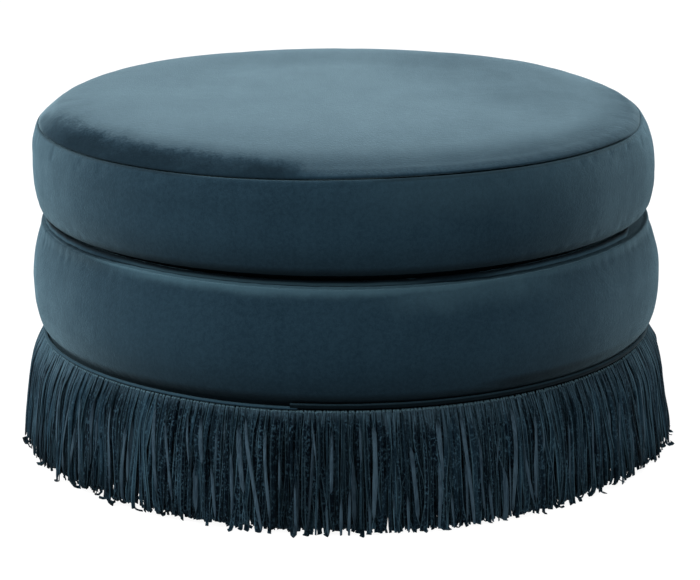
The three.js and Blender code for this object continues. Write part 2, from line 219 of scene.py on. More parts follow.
# ------------------------------------------------------------------- materials
class Mat:
    """A small helper that adds nodes to one material."""

    def __init__(self, name):
        self.m = bpy.data.materials.new(name)
        self.m.use_nodes = True
        self.t = self.m.node_tree
        self.t.nodes.clear()
        self.out = self.add("ShaderNodeOutputMaterial")
        self.bsdf = self.add("ShaderNodeBsdfPrincipled")
        self.t.links.new(self.bsdf.outputs[0], self.out.inputs["Surface"])
        self.co = self.add("ShaderNodeTexCoord").outputs["Object"]

    def add(self, kind, **props):
        n = self.t.nodes.new(kind)
        for k, v in props.items():
            setattr(n, k, v)
        return n

    def put(self, socket, value):
        if isinstance(value, bpy.types.NodeSocket):
            self.t.links.new(value, socket)
        elif isinstance(value, (tuple, list)) and len(value) == 3 and socket.type == "RGBA":
            socket.default_value = (*value, 1)
        else:
            socket.default_value = value

    def set(self, **values):
        for k, v in values.items():
            self.put(self.bsdf.inputs[k.replace("_", " ")], v)

    def scaled(self, x=1.0, y=1.0, z=1.0, co=None):
        n = self.add("ShaderNodeVectorMath", operation="MULTIPLY")
        self.put(n.inputs[0], co or self.co)
        n.inputs[1].default_value = (x, y, z)
        return n.outputs[0]

    def noise(self, scale, detail=2.0, rough=0.5, co=None, distortion=0.0):
        n = self.add("ShaderNodeTexNoise")
        self.put(n.inputs["Vector"], co or self.co)
        n.inputs["Scale"].default_value = scale
        n.inputs["Detail"].default_value = detail
        n.inputs["Roughness"].default_value = rough
        n.inputs["Distortion"].default_value = distortion
        return n.outputs["Fac"]

    def voronoi(self, scale, co=None, feature="F1"):
        n = self.add("ShaderNodeTexVoronoi", feature=feature)
        self.put(n.inputs["Vector"], co or self.co)
        n.inputs["Scale"].default_value = scale
        return n.outputs["Distance"]

    def math(self, op, a, b=0.0, c=0.0, clamp=False):
        n = self.add("ShaderNodeMath", operation=op, use_clamp=clamp)
        for i, v in enumerate((a, b, c)):
            self.put(n.inputs[i], v)
        return n.outputs[0]

    def ramp(self, value, lo, hi, to_lo=0.0, to_hi=1.0, smooth=True):
        n = self.add("ShaderNodeMapRange", interpolation_type="SMOOTHSTEP" if smooth else "LINEAR")
        self.put(n.inputs["Value"], value)
        n.inputs["From Min"].default_value, n.inputs["From Max"].default_value = lo, hi
        n.inputs["To Min"].default_value, n.inputs["To Max"].default_value = to_lo, to_hi
        return n.outputs[0]

    def mix(self, fac, a, b):
        n = self.add("ShaderNodeMix", data_type="RGBA")
        self.put(n.inputs["Factor"], fac)
        self.put(n.inputs[6], a)
        self.put(n.inputs[7], b)
        return n.outputs[2]

    def attr(self, name):
        return self.add("ShaderNodeAttribute", attribute_name=name).outputs["Fac"]

    def vec(self, op, a, b=(0, 0, 0)):
        n = self.add("ShaderNodeVectorMath", operation=op)
        self.put(n.inputs[0], a)
        if op != "NORMALIZE":
            self.put(n.inputs[1], b)
        return n.outputs[0]

    def vec3(self, value):
        n = self.add("ShaderNodeCombineXYZ")
        for i in range(3):
            self.put(n.inputs[i], value)
        return n.outputs[0]

    def bump(self, height, strength, distance, normal=None):
        n = self.add("ShaderNodeBump")
        n.inputs["Strength"].default_value = strength
        n.inputs["Distance"].default_value = distance
        self.put(n.inputs["Height"], height)
        if normal is not None:
            self.put(n.inputs["Normal"], normal)
        return n.outputs[0]

    def xyz(self):
        n = self.add("ShaderNodeSeparateXYZ")
        self.put(n.inputs[0], self.co)
        return n.outputs


def outward(m):
    """The level direction away from the axis."""
    return m.vec("NORMALIZE", m.scaled(1.0, 1.0, 0.0))


def polar(m):
    """Distance from the axis, the angle round it (0 at the front) and the height."""
    x, y, z = m.xyz()
    r = m.math("SQRT", m.math("ADD", m.math("MULTIPLY", x, x), m.math("MULTIPLY", y, y)))
    return r, m.math("ARCTAN2", x, m.math("MULTIPLY", y, -1.0)), z


def velvet(name, deep, lit, sheen, tint, brushed=None, streaks=True, sheen_rough=0.37, nap=(0, 0, 0), ends=(), stroke=(1, 1, 1),
           painted_highlight=None, turn=None, drawn=False, dim=None, calm=1.0):
    """Short-pile velvet: a dark body, a soft sheen, fine pile grain, nap streaks that run up and down,
    and broad patches where the nap lies another way. nap is the way the pile leans, ends are heights
    below which shade is painted into the colour, painted_highlight(m) a mask of painted highlight, dim(m) a further
    mask of painted shade, turn(m) a further lean, and brushed(m) gives a mask of pile that was brushed against
    the rest, darkened in colour partly as painted shade. A drawn piece has its painted shade and painted highlight
    in the point values shade and shine. calm says how patchy the pile is."""
    m = Mat(name)
    strokes = m.scaled(*stroke)
    broad = m.noise(5.0, 3.0, 0.55, strokes)
    patch = m.ramp(broad, 0.35, 0.68, -0.5, 0.5)
    run = m.noise(60.0, 2.0, 0.5, m.scaled(1, 1, 0.10)) if streaks else m.noise(30.0, 3.0, 0.6, strokes)
    run = m.ramp(run, 0.3, 0.7, -0.5, 0.5)
    fine = m.noise(760.0, 2.0, 0.6, strokes)
    grain = m.ramp(fine, 0.3, 0.7, -0.5, 0.5, smooth=False)
    mottle = m.ramp(m.noise(230.0, 2.0, 0.6, strokes), 0.3, 0.7, -0.5, 0.5)
    total = m.math("MULTIPLY_ADD", patch, 0.26 * calm, 0.42)
    total = m.math("MULTIPLY_ADD", run, 0.12, total)
    total = m.math("MULTIPLY_ADD", grain, 0.42, total)
    total = m.math("MULTIPLY_ADD", mottle, 0.36, total, clamp=True)
    colour = m.mix(total, deep, lit)
    # the shading normal follows the lean of the pile, which also wanders a little
    geo = m.add("ShaderNodeNewGeometry").outputs["Normal"]
    wander = m.add("ShaderNodeTexNoise")
    m.put(wander.inputs["Vector"], strokes)
    wander.inputs["Scale"].default_value = 30.0
    wander.inputs["Detail"].default_value = 4.0
    wander.inputs["Roughness"].default_value = 0.65
    off = m.vec("SUBTRACT", wander.outputs["Color"], (0.5, 0.5, 0.5))
    off = m.vec("MULTIPLY", off, (0.16 * calm, 0.16 * calm, 0.16 * calm))
    lean = m.vec("ADD", off, nap)
    if brushed:
        mask, way, dark = brushed(m)
        # the brushed pile is darkened in colour: partly its own look, partly painted shade for the sheen it loses
        colour = m.mix(m.math("MULTIPLY", mask, 0.6), colour, dark)
        lean = m.vec("ADD", lean, m.vec("MULTIPLY", m.vec3(mask), way))
    if ends:
        _, _, z = m.xyz()
        shade = None
        for lo, hi, much in ends:
            part = m.ramp(z, hi, lo, 0.0, much)
            shade = part if shade is None else m.math("MAXIMUM", shade, part)
        if dim:
            shade = m.math("MAXIMUM", shade, dim(m))
        # painted shade: below the given heights the colour darkens towards the groove
        colour = m.mix(shade, colour, tuple(c * 0.10 for c in deep))
        # down there the pile is pressed out towards the viewer, and gives back no light along its edge
        deep_in = m.math("MULTIPLY", m.math("MULTIPLY", shade, shade), 1.3)
        lean = m.vec("ADD", lean, m.vec("MULTIPLY", outward(m), m.vec3(deep_in)))
    if drawn:
        # painted shade from the point value shade, painted highlight from shine
        shade = m.attr("shade")
        colour = m.mix(shade, colour, tuple(c * 0.08 for c in deep))
        lean = m.vec("ADD", lean, m.vec("MULTIPLY", outward(m), m.vec3(m.math("MULTIPLY", shade, 1.3))))
        colour = m.mix(m.attr("shine"), colour, (0.060, 0.120, 0.152))
    if painted_highlight:
        # painted highlight mixed into the colour
        colour = m.mix(painted_highlight(m), colour, (0.060, 0.120, 0.152))
    if turn:
        lean = m.vec("ADD", lean, turn(m))
    normal = m.vec("NORMALIZE", m.vec("ADD", geo, lean))
    m.set(Base_Color=colour, Roughness=m.ramp(total, 0, 1, 0.92, 0.80, smooth=False), Specular_IOR_Level=0.12)
    m.set(Sheen_Weight=sheen, Sheen_Roughness=sheen_rough, Sheen_Tint=tint, Specular_Tint=(0.40, 0.75, 1.0))
    h = m.bump(fine, 0.5, 0.0006, normal)
    m.set(Normal=m.bump(m.noise(300.0, 3.0, 0.6), 0.30, 0.0008, h))
    return m.m


def fringe_velvet(name):
    """Cut velvet ribbon: dark speckled pile on one side, the smooth lighter back on the other.
    back says which side a face is on, tone how much light the pile of that stretch returns, partly its own
    tone and partly painted light, along runs from root to tip. root, rim and lit carry painted light,
    painted highlight and painted shade."""
    m = Mat(name)
    back, tone, along = m.attr("back"), m.attr("tone"), m.attr("along")
    _, angle, _ = polar(m)
    # below the header painted shade makes fine upright lines in the gaps between the ribbons, plainest at the front
    # right
    turns = m.math("MULTIPLY_ADD", angle, 800.0, m.ramp(m.noise(40.0, 2.0, 0.5), 0.3, 0.7, -1.2, 1.2, smooth=False))
    lines = m.ramp(m.math("SINE", turns), -0.5, 0.7, 0.0, 1.0)
    plain = m.math("MULTIPLY", m.ramp(angle, 0.25, 0.60, 0.35, 0.75), m.ramp(angle, 1.9, 1.4, 0.45, 1.0))
    clear_of_gap_shade = m.math("SUBTRACT", 1.0, m.math("MULTIPLY", lines, plain))
    pile = m.noise(400.0, 2.0, 0.7, m.scaled(1.0, 1.0, 0.85))
    dots = m.math("MULTIPLY", m.ramp(pile, 0.49, 0.61, 0.0, 1.0), m.ramp(m.noise(110.0, 2.0, 0.6), 0.30, 0.60), clamp=True)
    # tone picks between the pile's shaded and lit colours: partly its own tone, partly painted light
    dark = m.mix(tone, PILE, PILE_LIT)
    dark = m.mix(m.math("MULTIPLY", dots, 0.85), dark, PILE_DOT)
    # painted light on the stretch below the header, stronger still at the sides
    dark = m.mix(m.math("MULTIPLY", m.math("MULTIPLY", m.attr("root"), clear_of_gap_shade), m.math("MULTIPLY_ADD", dots, 0.25, 0.95), clamp=True), dark, PAINTED_ROOT_LIGHT)
    dark = m.mix(m.math("SUBTRACT", m.attr("root"), 1.0, clamp=True), dark, PAINTED_SIDE_LIGHT)
    # painted shade in those gaps, where the light below the header is interrupted
    between = m.math("MULTIPLY", m.math("SUBTRACT", 1.0, clear_of_gap_shade), m.math("MINIMUM", m.attr("root"), 1.0))
    dark = m.mix(m.math("MULTIPLY", between, 0.75), dark, PILE)
    # painted highlight on the cut edges of the ribbon, and on the fold at the header
    dark = m.mix(m.math("MULTIPLY", m.attr("rim"), m.math("MULTIPLY_ADD", tone, 0.6, 0.30), clamp=True), dark, PAINTED_RIM_HIGHLIGHT)
    dark = m.mix(m.ramp(along, 0.026, 0.008, 0.0, 1.0), dark, PAINTED_FOLD_HIGHLIGHT)
    knit = m.noise(620.0, 2.0, 0.55, m.scaled(1, 1, 0.08))
    light = m.mix(m.math("MULTIPLY_ADD", m.ramp(knit, 0.35, 0.65), 0.62, m.math("MULTIPLY", tone, 0.62), clamp=True), BACK_A, BACK_B)
    colour = m.mix(back, dark, light)
    # painted shade: the point value lit darkens the whole colour
    shade = m.attr("lit")
    grey = m.add("ShaderNodeCombineColor")
    for i in range(3):
        m.put(grey.inputs[i], shade)
    mul = m.add("ShaderNodeMix", data_type="RGBA", blend_type="MULTIPLY")
    mul.inputs["Factor"].default_value = 1.0
    m.put(mul.inputs[6], colour)
    m.put(mul.inputs[7], grey.outputs[0])
    m.set(Base_Color=mul.outputs[2], Roughness=0.9, Specular_IOR_Level=0.05, Specular_Tint=(0.40, 0.75, 1.0))
    m.set(Sheen_Weight=0.035, Sheen_Roughness=0.40, Sheen_Tint=(0.42, 0.78, 1.0))
    m.set(Normal=m.bump(pile, 0.5, 0.0007))
    return m.m


# PILE_LIT is the lit copy of the pile colour; PAINTED_ROOT_LIGHT and PAINTED_SIDE_LIGHT are painted light below the
# header; PAINTED_RIM_HIGHLIGHT and PAINTED_FOLD_HIGHLIGHT are painted highlights
PILE, PILE_LIT, PILE_DOT = (0.0009, 0.0024, 0.0050), (0.0125, 0.0320, 0.0490), (0.0240, 0.0530, 0.0750)
PAINTED_SIDE_LIGHT = (0.0850, 0.1550, 0.1950)
PAINTED_ROOT_LIGHT, PAINTED_RIM_HIGHLIGHT = (0.0400, 0.0720, 0.0960), (0.0500, 0.1020, 0.1340)
BACK_A, BACK_B = (0.0150, 0.0290, 0.0430), (0.0400, 0.0690, 0.0930)
PAINTED_FOLD_HIGHLIGHT = (0.0900, 0.1650, 0.2050)
DEEP = (0.0047, 0.0140, 0.0232)
LIT = (0.0112, 0.0285, 0.0432)
TINT = (0.50, 0.83, 1.0)
SHEEN = 0.685


def crown_marks_and_shade(m):
    """Where the pile of the top panel was brushed the other way, just inside the seam at the front left, with painted
    shade against the seam and along the far left edge.
    """
    r, angle, _ = polar(m)
    flat = m.scaled(1.0, 0.34, 1.0)
    wander = m.ramp(m.noise(14.0, 3.0, 0.6, flat), 0.3, 0.7, -1, 1, smooth=False)
    fluff = m.ramp(m.noise(52.0, 3.0, 0.6, m.scaled(1.0, 0.5, 1.0)), 0.3, 0.7, -1, 1, smooth=False)
    hair = m.ramp(m.noise(330.0, 2.0, 0.6, m.scaled(1.0, 0.5, 1.0)), 0.3, 0.7, -1, 1, smooth=False)
    loose = m.math("MULTIPLY_ADD", wander, 0.005, m.math("MULTIPLY_ADD", fluff, 0.004, m.math("MULTIPLY_ADD", hair, 0.003, r)))
    # the inner border lies further out towards both ends
    border = m.math("ADD", m.ramp(angle, -0.42, -0.20, 0.3335, 0.3415), m.ramp(angle, -0.95, -1.20, 0.0, 0.0040))
    gap = m.math("SUBTRACT", loose, border)
    faint = m.ramp(gap, -0.050, 0.0)
    strong = m.math("MULTIPLY_ADD", m.ramp(gap, -0.022, 0.004), 0.45, m.ramp(gap, -0.010, 0.014, 0.0, 0.55))
    left = m.ramp(m.math("MULTIPLY_ADD", wander, 0.06, angle), -1.60, -1.00)
    right = m.ramp(m.math("MULTIPLY_ADD", fluff, 0.03, m.math("MULTIPLY_ADD", wander, 0.04, angle)), -0.10, -0.21)
    mark = m.math("MULTIPLY_ADD", strong, 0.66, m.math("MULTIPLY", faint, 0.10))
    # darkest along two stretches and at a spot by its right end
    two = m.math("ADD", m.math("MULTIPLY", m.ramp(angle, -1.20, -1.02), m.ramp(angle, -0.80, -0.92)),
                 m.math("MULTIPLY", m.ramp(angle, -0.84, -0.74), m.ramp(angle, -0.50, -0.64)))
    spot = m.math("MULTIPLY", m.ramp(angle, -0.33, -0.27), m.ramp(angle, -0.11, -0.18))
    core = m.math("MULTIPLY", strong, m.math("ADD", two, spot, clamp=True))
    mark = m.math("MULTIPLY_ADD", core, 0.24, mark)
    # patchy inside, and painted shade right against the seam
    patchy = m.math("MULTIPLY_ADD", m.math("ADD", fluff, hair), 0.13, 0.98)
    against = m.ramp(r, 0.342, 0.352, 1.0, 1.12)
    mark = m.math("MULTIPLY", m.math("MULTIPLY", mark, patchy), m.math("MULTIPLY", against, m.math("MULTIPLY", left, right)), clamp=True)
    # round the far left there is only painted shade along the last of the edge
    rest = m.math("MULTIPLY", m.ramp(r, 0.340, 0.356, 0.0, 0.24), m.math("MULTIPLY", m.ramp(angle, -1.60, -1.42), m.ramp(angle, -0.9, -1.1)))
    mark = m.math("MAXIMUM", mark, rest)
    return mark, (-0.24, -0.98, 0.0), (0.0016, 0.0060, 0.0105)


def crown_roll(m):
    """The pile of the top panel lies down outwards more and more towards the front and right of its edge,
    and towards the front where the edge runs round the sides."""
    r, angle, _ = polar(m)
    x, y, _ = m.xyz()
    front = m.math("MULTIPLY", m.math("ADD", m.ramp(angle, -1.45, -0.85, 0.0, 0.160), m.ramp(angle, 0.10, 0.87, 0.0, 0.150)), m.ramp(angle, 1.20, 0.86))
    much = m.math("MULTIPLY", m.ramp(r, 0.270, 0.363), front)
    # against the seam it stands up again
    stand = m.math("MULTIPLY", m.math("MULTIPLY", m.ramp(angle, -0.16, -0.04), m.ramp(angle, 0.70, 0.22, 0.60, 1.0)),
                   m.math("MULTIPLY", m.ramp(angle, 1.10, 0.85), m.ramp(r, 0.3500, 0.3605, 0.0, 0.28)))
    much = m.math("SUBTRACT", much, stand)
    right = m.math("MULTIPLY", m.ramp(angle, 0.60, 1.80, 0.0, 0.100), m.math("MULTIPLY", m.ramp(angle, 3.14, 2.55), m.ramp(r, 0.06, 0.22)))
    rim = m.math("MULTIPLY", m.math("MULTIPLY", m.ramp(angle, 0.80, 1.10), m.ramp(angle, 2.1, 1.6)), m.ramp(r, 0.285, 0.350, 0.0, 0.13))
    back = m.ramp(y, 0.14, 0.30, 0.0, 0.05)
    side = m.math("ADD", m.math("ADD", right, rim), back)
    lean = m.vec("MULTIPLY", outward(m), m.vec3(much))
    return m.vec("ADD", lean, m.vec("MULTIPLY", m.vec3(side), (0.0, -1.0, 0.0)))


def flank(right_much, left_much):
    """The pile of a band leans round its sides, which lights them, and lies down along their far edges."""
    def turn(m):
        r, angle, z = polar(m)
        right = m.math("MULTIPLY", m.ramp(angle, 0.30, 0.90, 0.0, right_much), m.ramp(angle, 1.12, 0.88))
        left = m.math("MULTIPLY", m.ramp(angle, -0.50, -0.92, 0.0, left_much), m.ramp(angle, -1.22, -0.98))
        edge = m.math("ADD", m.math("MULTIPLY", m.ramp(angle, 1.00, 1.35, 0.0, 0.13), m.ramp(angle, 2.2, 1.8)),
                      m.math("MULTIPLY", m.ramp(angle, -1.05, -1.35, 0.0, 0.08), m.ramp(angle, -2.2, -1.8)))
        lean = m.vec("MULTIPLY", m.vec3(m.math("SUBTRACT", right, left)), (1.0, 0.0, 0.0))
        return m.vec("ADD", lean, m.vec("MULTIPLY", m.vec3(edge), (0.0, -1.0, 0.0)))
    return turn


def upper_painted_highlight(m):
    """Painted highlight on the upper band below its seam at the front right."""
    r, angle, z = polar(m)
    soft = m.ramp(m.noise(24.0, 3.0, 0.6), 0.3, 0.7, -0.006, 0.006, smooth=False)
    up = m.ramp(m.math("ADD", z, soft), 0.325, 0.380, 0.0, 0.12)
    return m.math("MULTIPLY", up, m.math("MULTIPLY", m.ramp(angle, -0.10, 0.35), m.ramp(angle, 1.00, 0.68)))


def upper_painted_shade(m):
    """Painted shade on the upper band right against its seam, but for a stretch at the front."""
    r, angle, z = polar(m)
    left = m.math("MULTIPLY", m.ramp(z, 0.3835, 0.3865, 0.0, 0.55), m.math("MULTIPLY", m.ramp(angle, -0.35, -0.62), m.ramp(angle, -1.75, -1.45)))
    right = m.math("MULTIPLY", m.ramp(z, 0.3860, 0.3884, 0.0, 0.60), m.math("MULTIPLY", m.ramp(angle, 0.04, 0.18), m.ramp(angle, 1.35, 1.10)))
    return m.math("MAXIMUM", left, right)


def lower_painted_highlight(m):
    """Painted highlight along the lower tier's top edge, most at the front left."""
    r, angle, z = polar(m)
    soft = m.ramp(m.noise(30.0, 3.0, 0.6), 0.3, 0.7, -0.002, 0.002, smooth=False)
    level = m.attr("level")
    up = m.ramp(m.math("ADD", level, soft), 0.252, 0.2675)
    where = m.math("MULTIPLY", m.ramp(angle, -0.92, -0.55), m.ramp(angle, 0.95, 0.15, 0.45, 1.0))
    wide = m.math("MULTIPLY", m.math("MULTIPLY", up, up), m.math("MULTIPLY", where, 0.48))
    lip = m.math("MULTIPLY", m.ramp(level, 0.2655, 0.2676, 0.0, 0.60), m.math("MULTIPLY", m.ramp(angle, -1.0, -0.7), m.ramp(angle, 1.05, 0.3, 0.0, 1.0)))
    # towards the right it fades lower down and more slowly
    slow = m.math("MULTIPLY", m.ramp(m.math("ADD", level, m.math("MULTIPLY", soft, 2.0)), 0.232, 0.264, 0.0, 0.26),
                  m.math("MULTIPLY", m.ramp(angle, 0.02, 0.28), m.ramp(angle, 0.80, 0.50)))
    return m.math("MAXIMUM", m.math("MAXIMUM", wide, slow), lip)


def lower_painted_shade(m):
    """Painted shade on the lower tier along its top edge at the far left and far right, and low down at the far left
    and at the right.
    """
    r, angle, z = polar(m)
    level = m.attr("level")
    top_left = m.math("MULTIPLY", m.ramp(level, 0.250, 0.266, 0.0, 0.36), m.math("MULTIPLY", m.ramp(angle, -0.72, -0.92), m.ramp(angle, -1.25, -1.05)))
    top_right = m.math("MULTIPLY", m.math("ADD", m.ramp(level, 0.246, 0.266, 0.0, 0.40), m.ramp(level, 0.2655, 0.268, 0.0, 0.40)), m.math("MULTIPLY", m.ramp(angle, 0.98, 1.12), m.ramp(angle, 1.75, 1.5)))
    low_left = m.math("MULTIPLY", m.ramp(z, 0.164, 0.146, 0.0, 0.62), m.math("MULTIPLY", m.ramp(angle, -0.95, -1.2), m.ramp(angle, -2.3, -1.9)))
    low_right = m.math("MULTIPLY", m.ramp(z, 0.167, 0.154, 0.0, 0.97), m.math("MULTIPLY", m.ramp(angle, 0.22, 0.55), m.ramp(angle, 1.45, 1.20)))
    return m.math("MAXIMUM", m.math("MAXIMUM", top_left, top_right), m.math("MAXIMUM", low_left, low_right))


mat_top = velvet("velvet_top", DEEP, LIT, SHEEN, (0.56, 0.855, 1.0), brushed=crown_marks_and_shade, streaks=False, nap=(0.0, 0.05, 0.0),
                 stroke=(1.0, 0.34, 1.0), turn=crown_roll, calm=0.5)
# the bands carry painted shade low down and by their seams (ends, dim) and painted highlight near their top edges
mat_band = velvet("velvet_band", DEEP, LIT, SHEEN, TINT, nap=(0, 0, 0.28), ends=((0.280, 0.335, 0.50), (0.284, 0.303, 0.95)),
                  turn=flank(0.22, 0.14), painted_highlight=upper_painted_highlight, dim=upper_painted_shade)
mat_band_low = velvet("velvet_band_low", DEEP, LIT, SHEEN, TINT, nap=(0, 0, 0.28),
                      ends=((0.142, 0.205, 0.50), (0.144, 0.165, 0.95)), painted_highlight=lower_painted_highlight, dim=lower_painted_shade, turn=flank(0.14, 0.14))
mat_welt = velvet("velvet_welt", tuple(c * 1.1 for c in DEEP), tuple(c * 1.1 for c in LIT), 0.22, TINT, streaks=False,
                  nap=(0, 0, 0.25), drawn=True)
# painted shade: the same velvet at about a third of its brightness, for the piping in the shade of the lower band
mat_piping_shaded = velvet("velvet_piping_shaded", tuple(c * 0.36 for c in DEEP), tuple(c * 0.36 for c in LIT), 0.17, TINT, streaks=False, drawn=True)
mat_fringe = fringe_velvet("velvet_fringe")


def plain_cloth(name, a, b, scale=500.0, rough=0.9, sheen=0.2, strength=0.4):
    m = Mat(name)
    n = m.noise(scale, 3.0, 0.6)
    big = m.noise(scale * 0.03, 2.0, 0.5)
    t = m.math("MULTIPLY_ADD", m.ramp(big, 0.3, 0.7), 0.4, m.math("MULTIPLY", m.ramp(n, 0.3, 0.7), 0.6), clamp=True)
    m.set(Base_Color=m.mix(t, a, b), Roughness=rough, Specular_IOR_Level=0.2)
    m.set(Sheen_Weight=sheen, Sheen_Roughness=0.5, Sheen_Tint=(1.0, 1.0, 1.0))
    m.set(Normal=m.bump(n, strength, 0.0006))
    return m.m


def foam_material(name, a, b):
    m = Mat(name)
    cells = m.voronoi(700.0)
    big = m.noise(9.0, 3.0, 0.6)
    t = m.math("MULTIPLY_ADD", m.ramp(big, 0.3, 0.7), 0.5, m.math("MULTIPLY", cells, 0.5), clamp=True)
    m.set(Base_Color=m.mix(t, a, b), Roughness=0.95, Specular_IOR_Level=0.1, Normal=m.bump(cells, 0.6, 0.0008))
    return m.m


def wood_material(name, pale, dark, plies=False):
    """Wood with long grain along X, and on edges of plywood the plies as thin level bands."""
    m = Mat(name)
    grain = m.noise(26.0, 5.0, 0.6, m.scaled(0.12, 1.0, 1.0), distortion=0.6)
    pores = m.noise(420.0, 2.0, 0.6, m.scaled(0.05, 1.0, 1.0))
    t = m.math("MULTIPLY_ADD", m.ramp(grain, 0.3, 0.7), 0.75, m.math("MULTIPLY", m.ramp(pores, 0.45, 0.7), 0.25), clamp=True)
    colour = m.mix(t, pale, dark)
    if plies:
        _, _, z = m.xyz()
        layer = m.math("FRACT", m.math("MULTIPLY", z, 1 / 0.0052))
        line = m.math("MULTIPLY", m.ramp(layer, 0.45, 0.5), m.ramp(layer, 0.98, 0.93))
        _, _, up = m.add("ShaderNodeSeparateXYZ").outputs
        geo = m.add("ShaderNodeNewGeometry")
        sep = up.node
        m.put(sep.inputs[0], geo.outputs["Normal"])
        side = m.ramp(m.math("ABSOLUTE", up), 0.7, 0.3)
        colour = m.mix(m.math("MULTIPLY", m.math("MULTIPLY", line, side), 0.6), colour, tuple(c * 0.45 for c in dark))
    m.set(Base_Color=colour, Roughness=m.ramp(pores, 0, 1, 0.55, 0.8), Specular_IOR_Level=0.3, Normal=m.bump(grain, 0.25, 0.0008))
    return m.m


def webbing_material(name, axis):
    """Tight plain weave with a rib across the strap."""
    m = Mat(name)
    wave = m.add("ShaderNodeTexWave", wave_type="BANDS", bands_direction=axis)
    m.put(wave.inputs["Vector"], m.co)
    wave.inputs["Scale"].default_value = 110.0
    wave.inputs["Distortion"].default_value = 0.6
    wave.inputs["Detail"].default_value = 1.0
    n = m.noise(600.0, 2.0, 0.6)
    t = m.math("MULTIPLY_ADD", wave.outputs["Fac"], 0.6, m.math("MULTIPLY", n, 0.4), clamp=True)
    m.set(Base_Color=m.mix(t, (0.006, 0.006, 0.005), (0.035, 0.032, 0.028)), Roughness=0.85, Specular_IOR_Level=0.2)
    m.set(Normal=m.bump(wave.outputs["Fac"], 0.7, 0.0007))
    return m.m


def plastic_material(name, a, b):
    m = Mat(name)
    n = m.noise(180.0, 3.0, 0.6)
    scuff = m.noise(30.0, 4.0, 0.7)
    m.set(Base_Color=m.mix(m.ramp(scuff, 0.45, 0.75), a, b), Roughness=m.ramp(n, 0.3, 0.7, 0.38, 0.55), Specular_IOR_Level=0.45)
    m.set(Normal=m.bump(n, 0.12, 0.0004))
    return m.m


def steel_material(name):
    m = Mat(name)
    n = m.noise(500.0, 3.0, 0.6)
    m.set(Base_Color=m.mix(m.ramp(n, 0.3, 0.7), (0.42, 0.42, 0.44), (0.62, 0.62, 0.63)), Metallic=1.0)
    m.set(Roughness=m.ramp(n, 0.3, 0.7, 0.25, 0.42), Normal=m.bump(n, 0.1, 0.0003))
    return m.m


# painted shade: the plinth's velvet is made darker than the bands' velvet, for the shade it sits in behind the fringe
mat_plinth_shaded = plain_cloth("plinth_velvet", (0.0022, 0.0045, 0.0075), (0.0060, 0.0120, 0.0180), 900.0, sheen=0.15)
mat_wadding = plain_cloth("wadding", (0.70, 0.69, 0.65), (0.88, 0.87, 0.84), 160.0, strength=0.8)
mat_foam = foam_material("foam", (0.62, 0.55, 0.33), (0.80, 0.74, 0.50))
mat_dust = plain_cloth("dust_cloth", (0.004, 0.004, 0.005), (0.016, 0.016, 0.018), 1400.0)
mat_ply = wood_material("plywood", (0.60, 0.42, 0.22), (0.36, 0.21, 0.09), plies=True)
mat_pine = wood_material("pine", (0.68, 0.50, 0.27), (0.45, 0.27, 0.11))
mat_card = plain_cloth("card", (0.26, 0.18, 0.10), (0.36, 0.26, 0.15), 300.0, sheen=0.0)
mat_web_x = webbing_material("webbing_along_x", "X")
mat_web_y = webbing_material("webbing_along_y", "Y")
mat_glide = plastic_material("glide_plastic", (0.010, 0.010, 0.011), (0.035, 0.035, 0.036))
mat_steel = steel_material("zinc_steel")
mat_thread = plain_cloth("thread", (0.006, 0.012, 0.018), (0.020, 0.036, 0.048), 1500.0)


def paint(ob, mat):
    ob.data.materials.clear()
    ob.data.materials.append(mat)
    return ob


def piece(ob, mat, slot, *nodes):
    paint(ob, mat)
    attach(ob, "root")
    if nodes:
        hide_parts(*nodes)
    return ob


# ------------------------------------------------------------------ upper tier
SEG = 1024
PHI = np.arange(SEG) / SEG * TAU - math.pi


def seam_height(phi):
    """The top seam runs a little low on the left, and high on the right."""
    return 2.3 * np.sin(phi) + 0.5 * np.sin(3 * phi + 1.1) + 0.35 * np.sin(7 * phi + 0.4)


def soft_corner(phi):
    """1 where the upper tier's corner at the right is stuffed less and rolls over."""
    d = np.degrees(phi)
    return smoothstep(d, 62, 84) * (1 - smoothstep(d, 112, 142))


def closed_seam(phi):
    """1 where the crease of the top seam at the right is pulled shut."""
    d = np.degrees(phi)
    return smoothstep(d, 58, 66) * (1 - smoothstep(d, 112, 130))


def round_table(phi, degrees, values, soft=121):
    """A smooth function round the object through values given at some angles (closed)."""
    at = np.radians(degrees)
    a = np.concatenate([at[:-1] - TAU, at, at[1:] + TAU])
    b = np.concatenate([values[:-1], values, values[1:]])
    fine = np.linspace(-math.pi - 1.2, math.pi + 1.2, 1500)
    win = np.hanning(soft)
    return np.interp(phi, fine, np.convolve(np.interp(fine, a, b), win / win.sum(), "same"))


def shoulder(phi):
    """How much fuller or flatter the crown's shoulder is than its mean, in mm, round the seat."""
    return round_table(phi, [-180, -144, -118, -90, -60, -30, 0, 45, 75, 98, 125, 150, 180],
                       [5.4, 8.4, 8.2, 5.2, 1.4, -1.4, -2.6, -2.8, -2.8, -3.2, 0.6, 3.4, 5.4])


def header_rise(phi):
    """How far the base welt and the fringe's top edge lie above their mean height, in mm."""
    return round_table(phi, [-180, -120, -90, -75, -60, -45, -32, -18, 0, 45, 60, 75, 90, 130, 180],
                       [2.5, 3.0, 3.4, 3.6, 4.3, 4.4, 4.0, 2.5, 2.6, 2.2, 1.8, 2.2, 2.5, 2.5, 2.5], 61)


def edge_lift(phi):
    """How far the lower tier's top edge lies above its mean height, in mm."""
    return round_table(phi, [-180, -110, -90, -60, -38, -30, -12, 5, 22, 32, 60, 80, 110, 180],
                       [2.0, 2.4, 2.8, 3.0, 2.9, 2.2, 1.0, 0.4, 0.6, 1.6, 2.0, 1.0, 1.6, 2.0], 81)


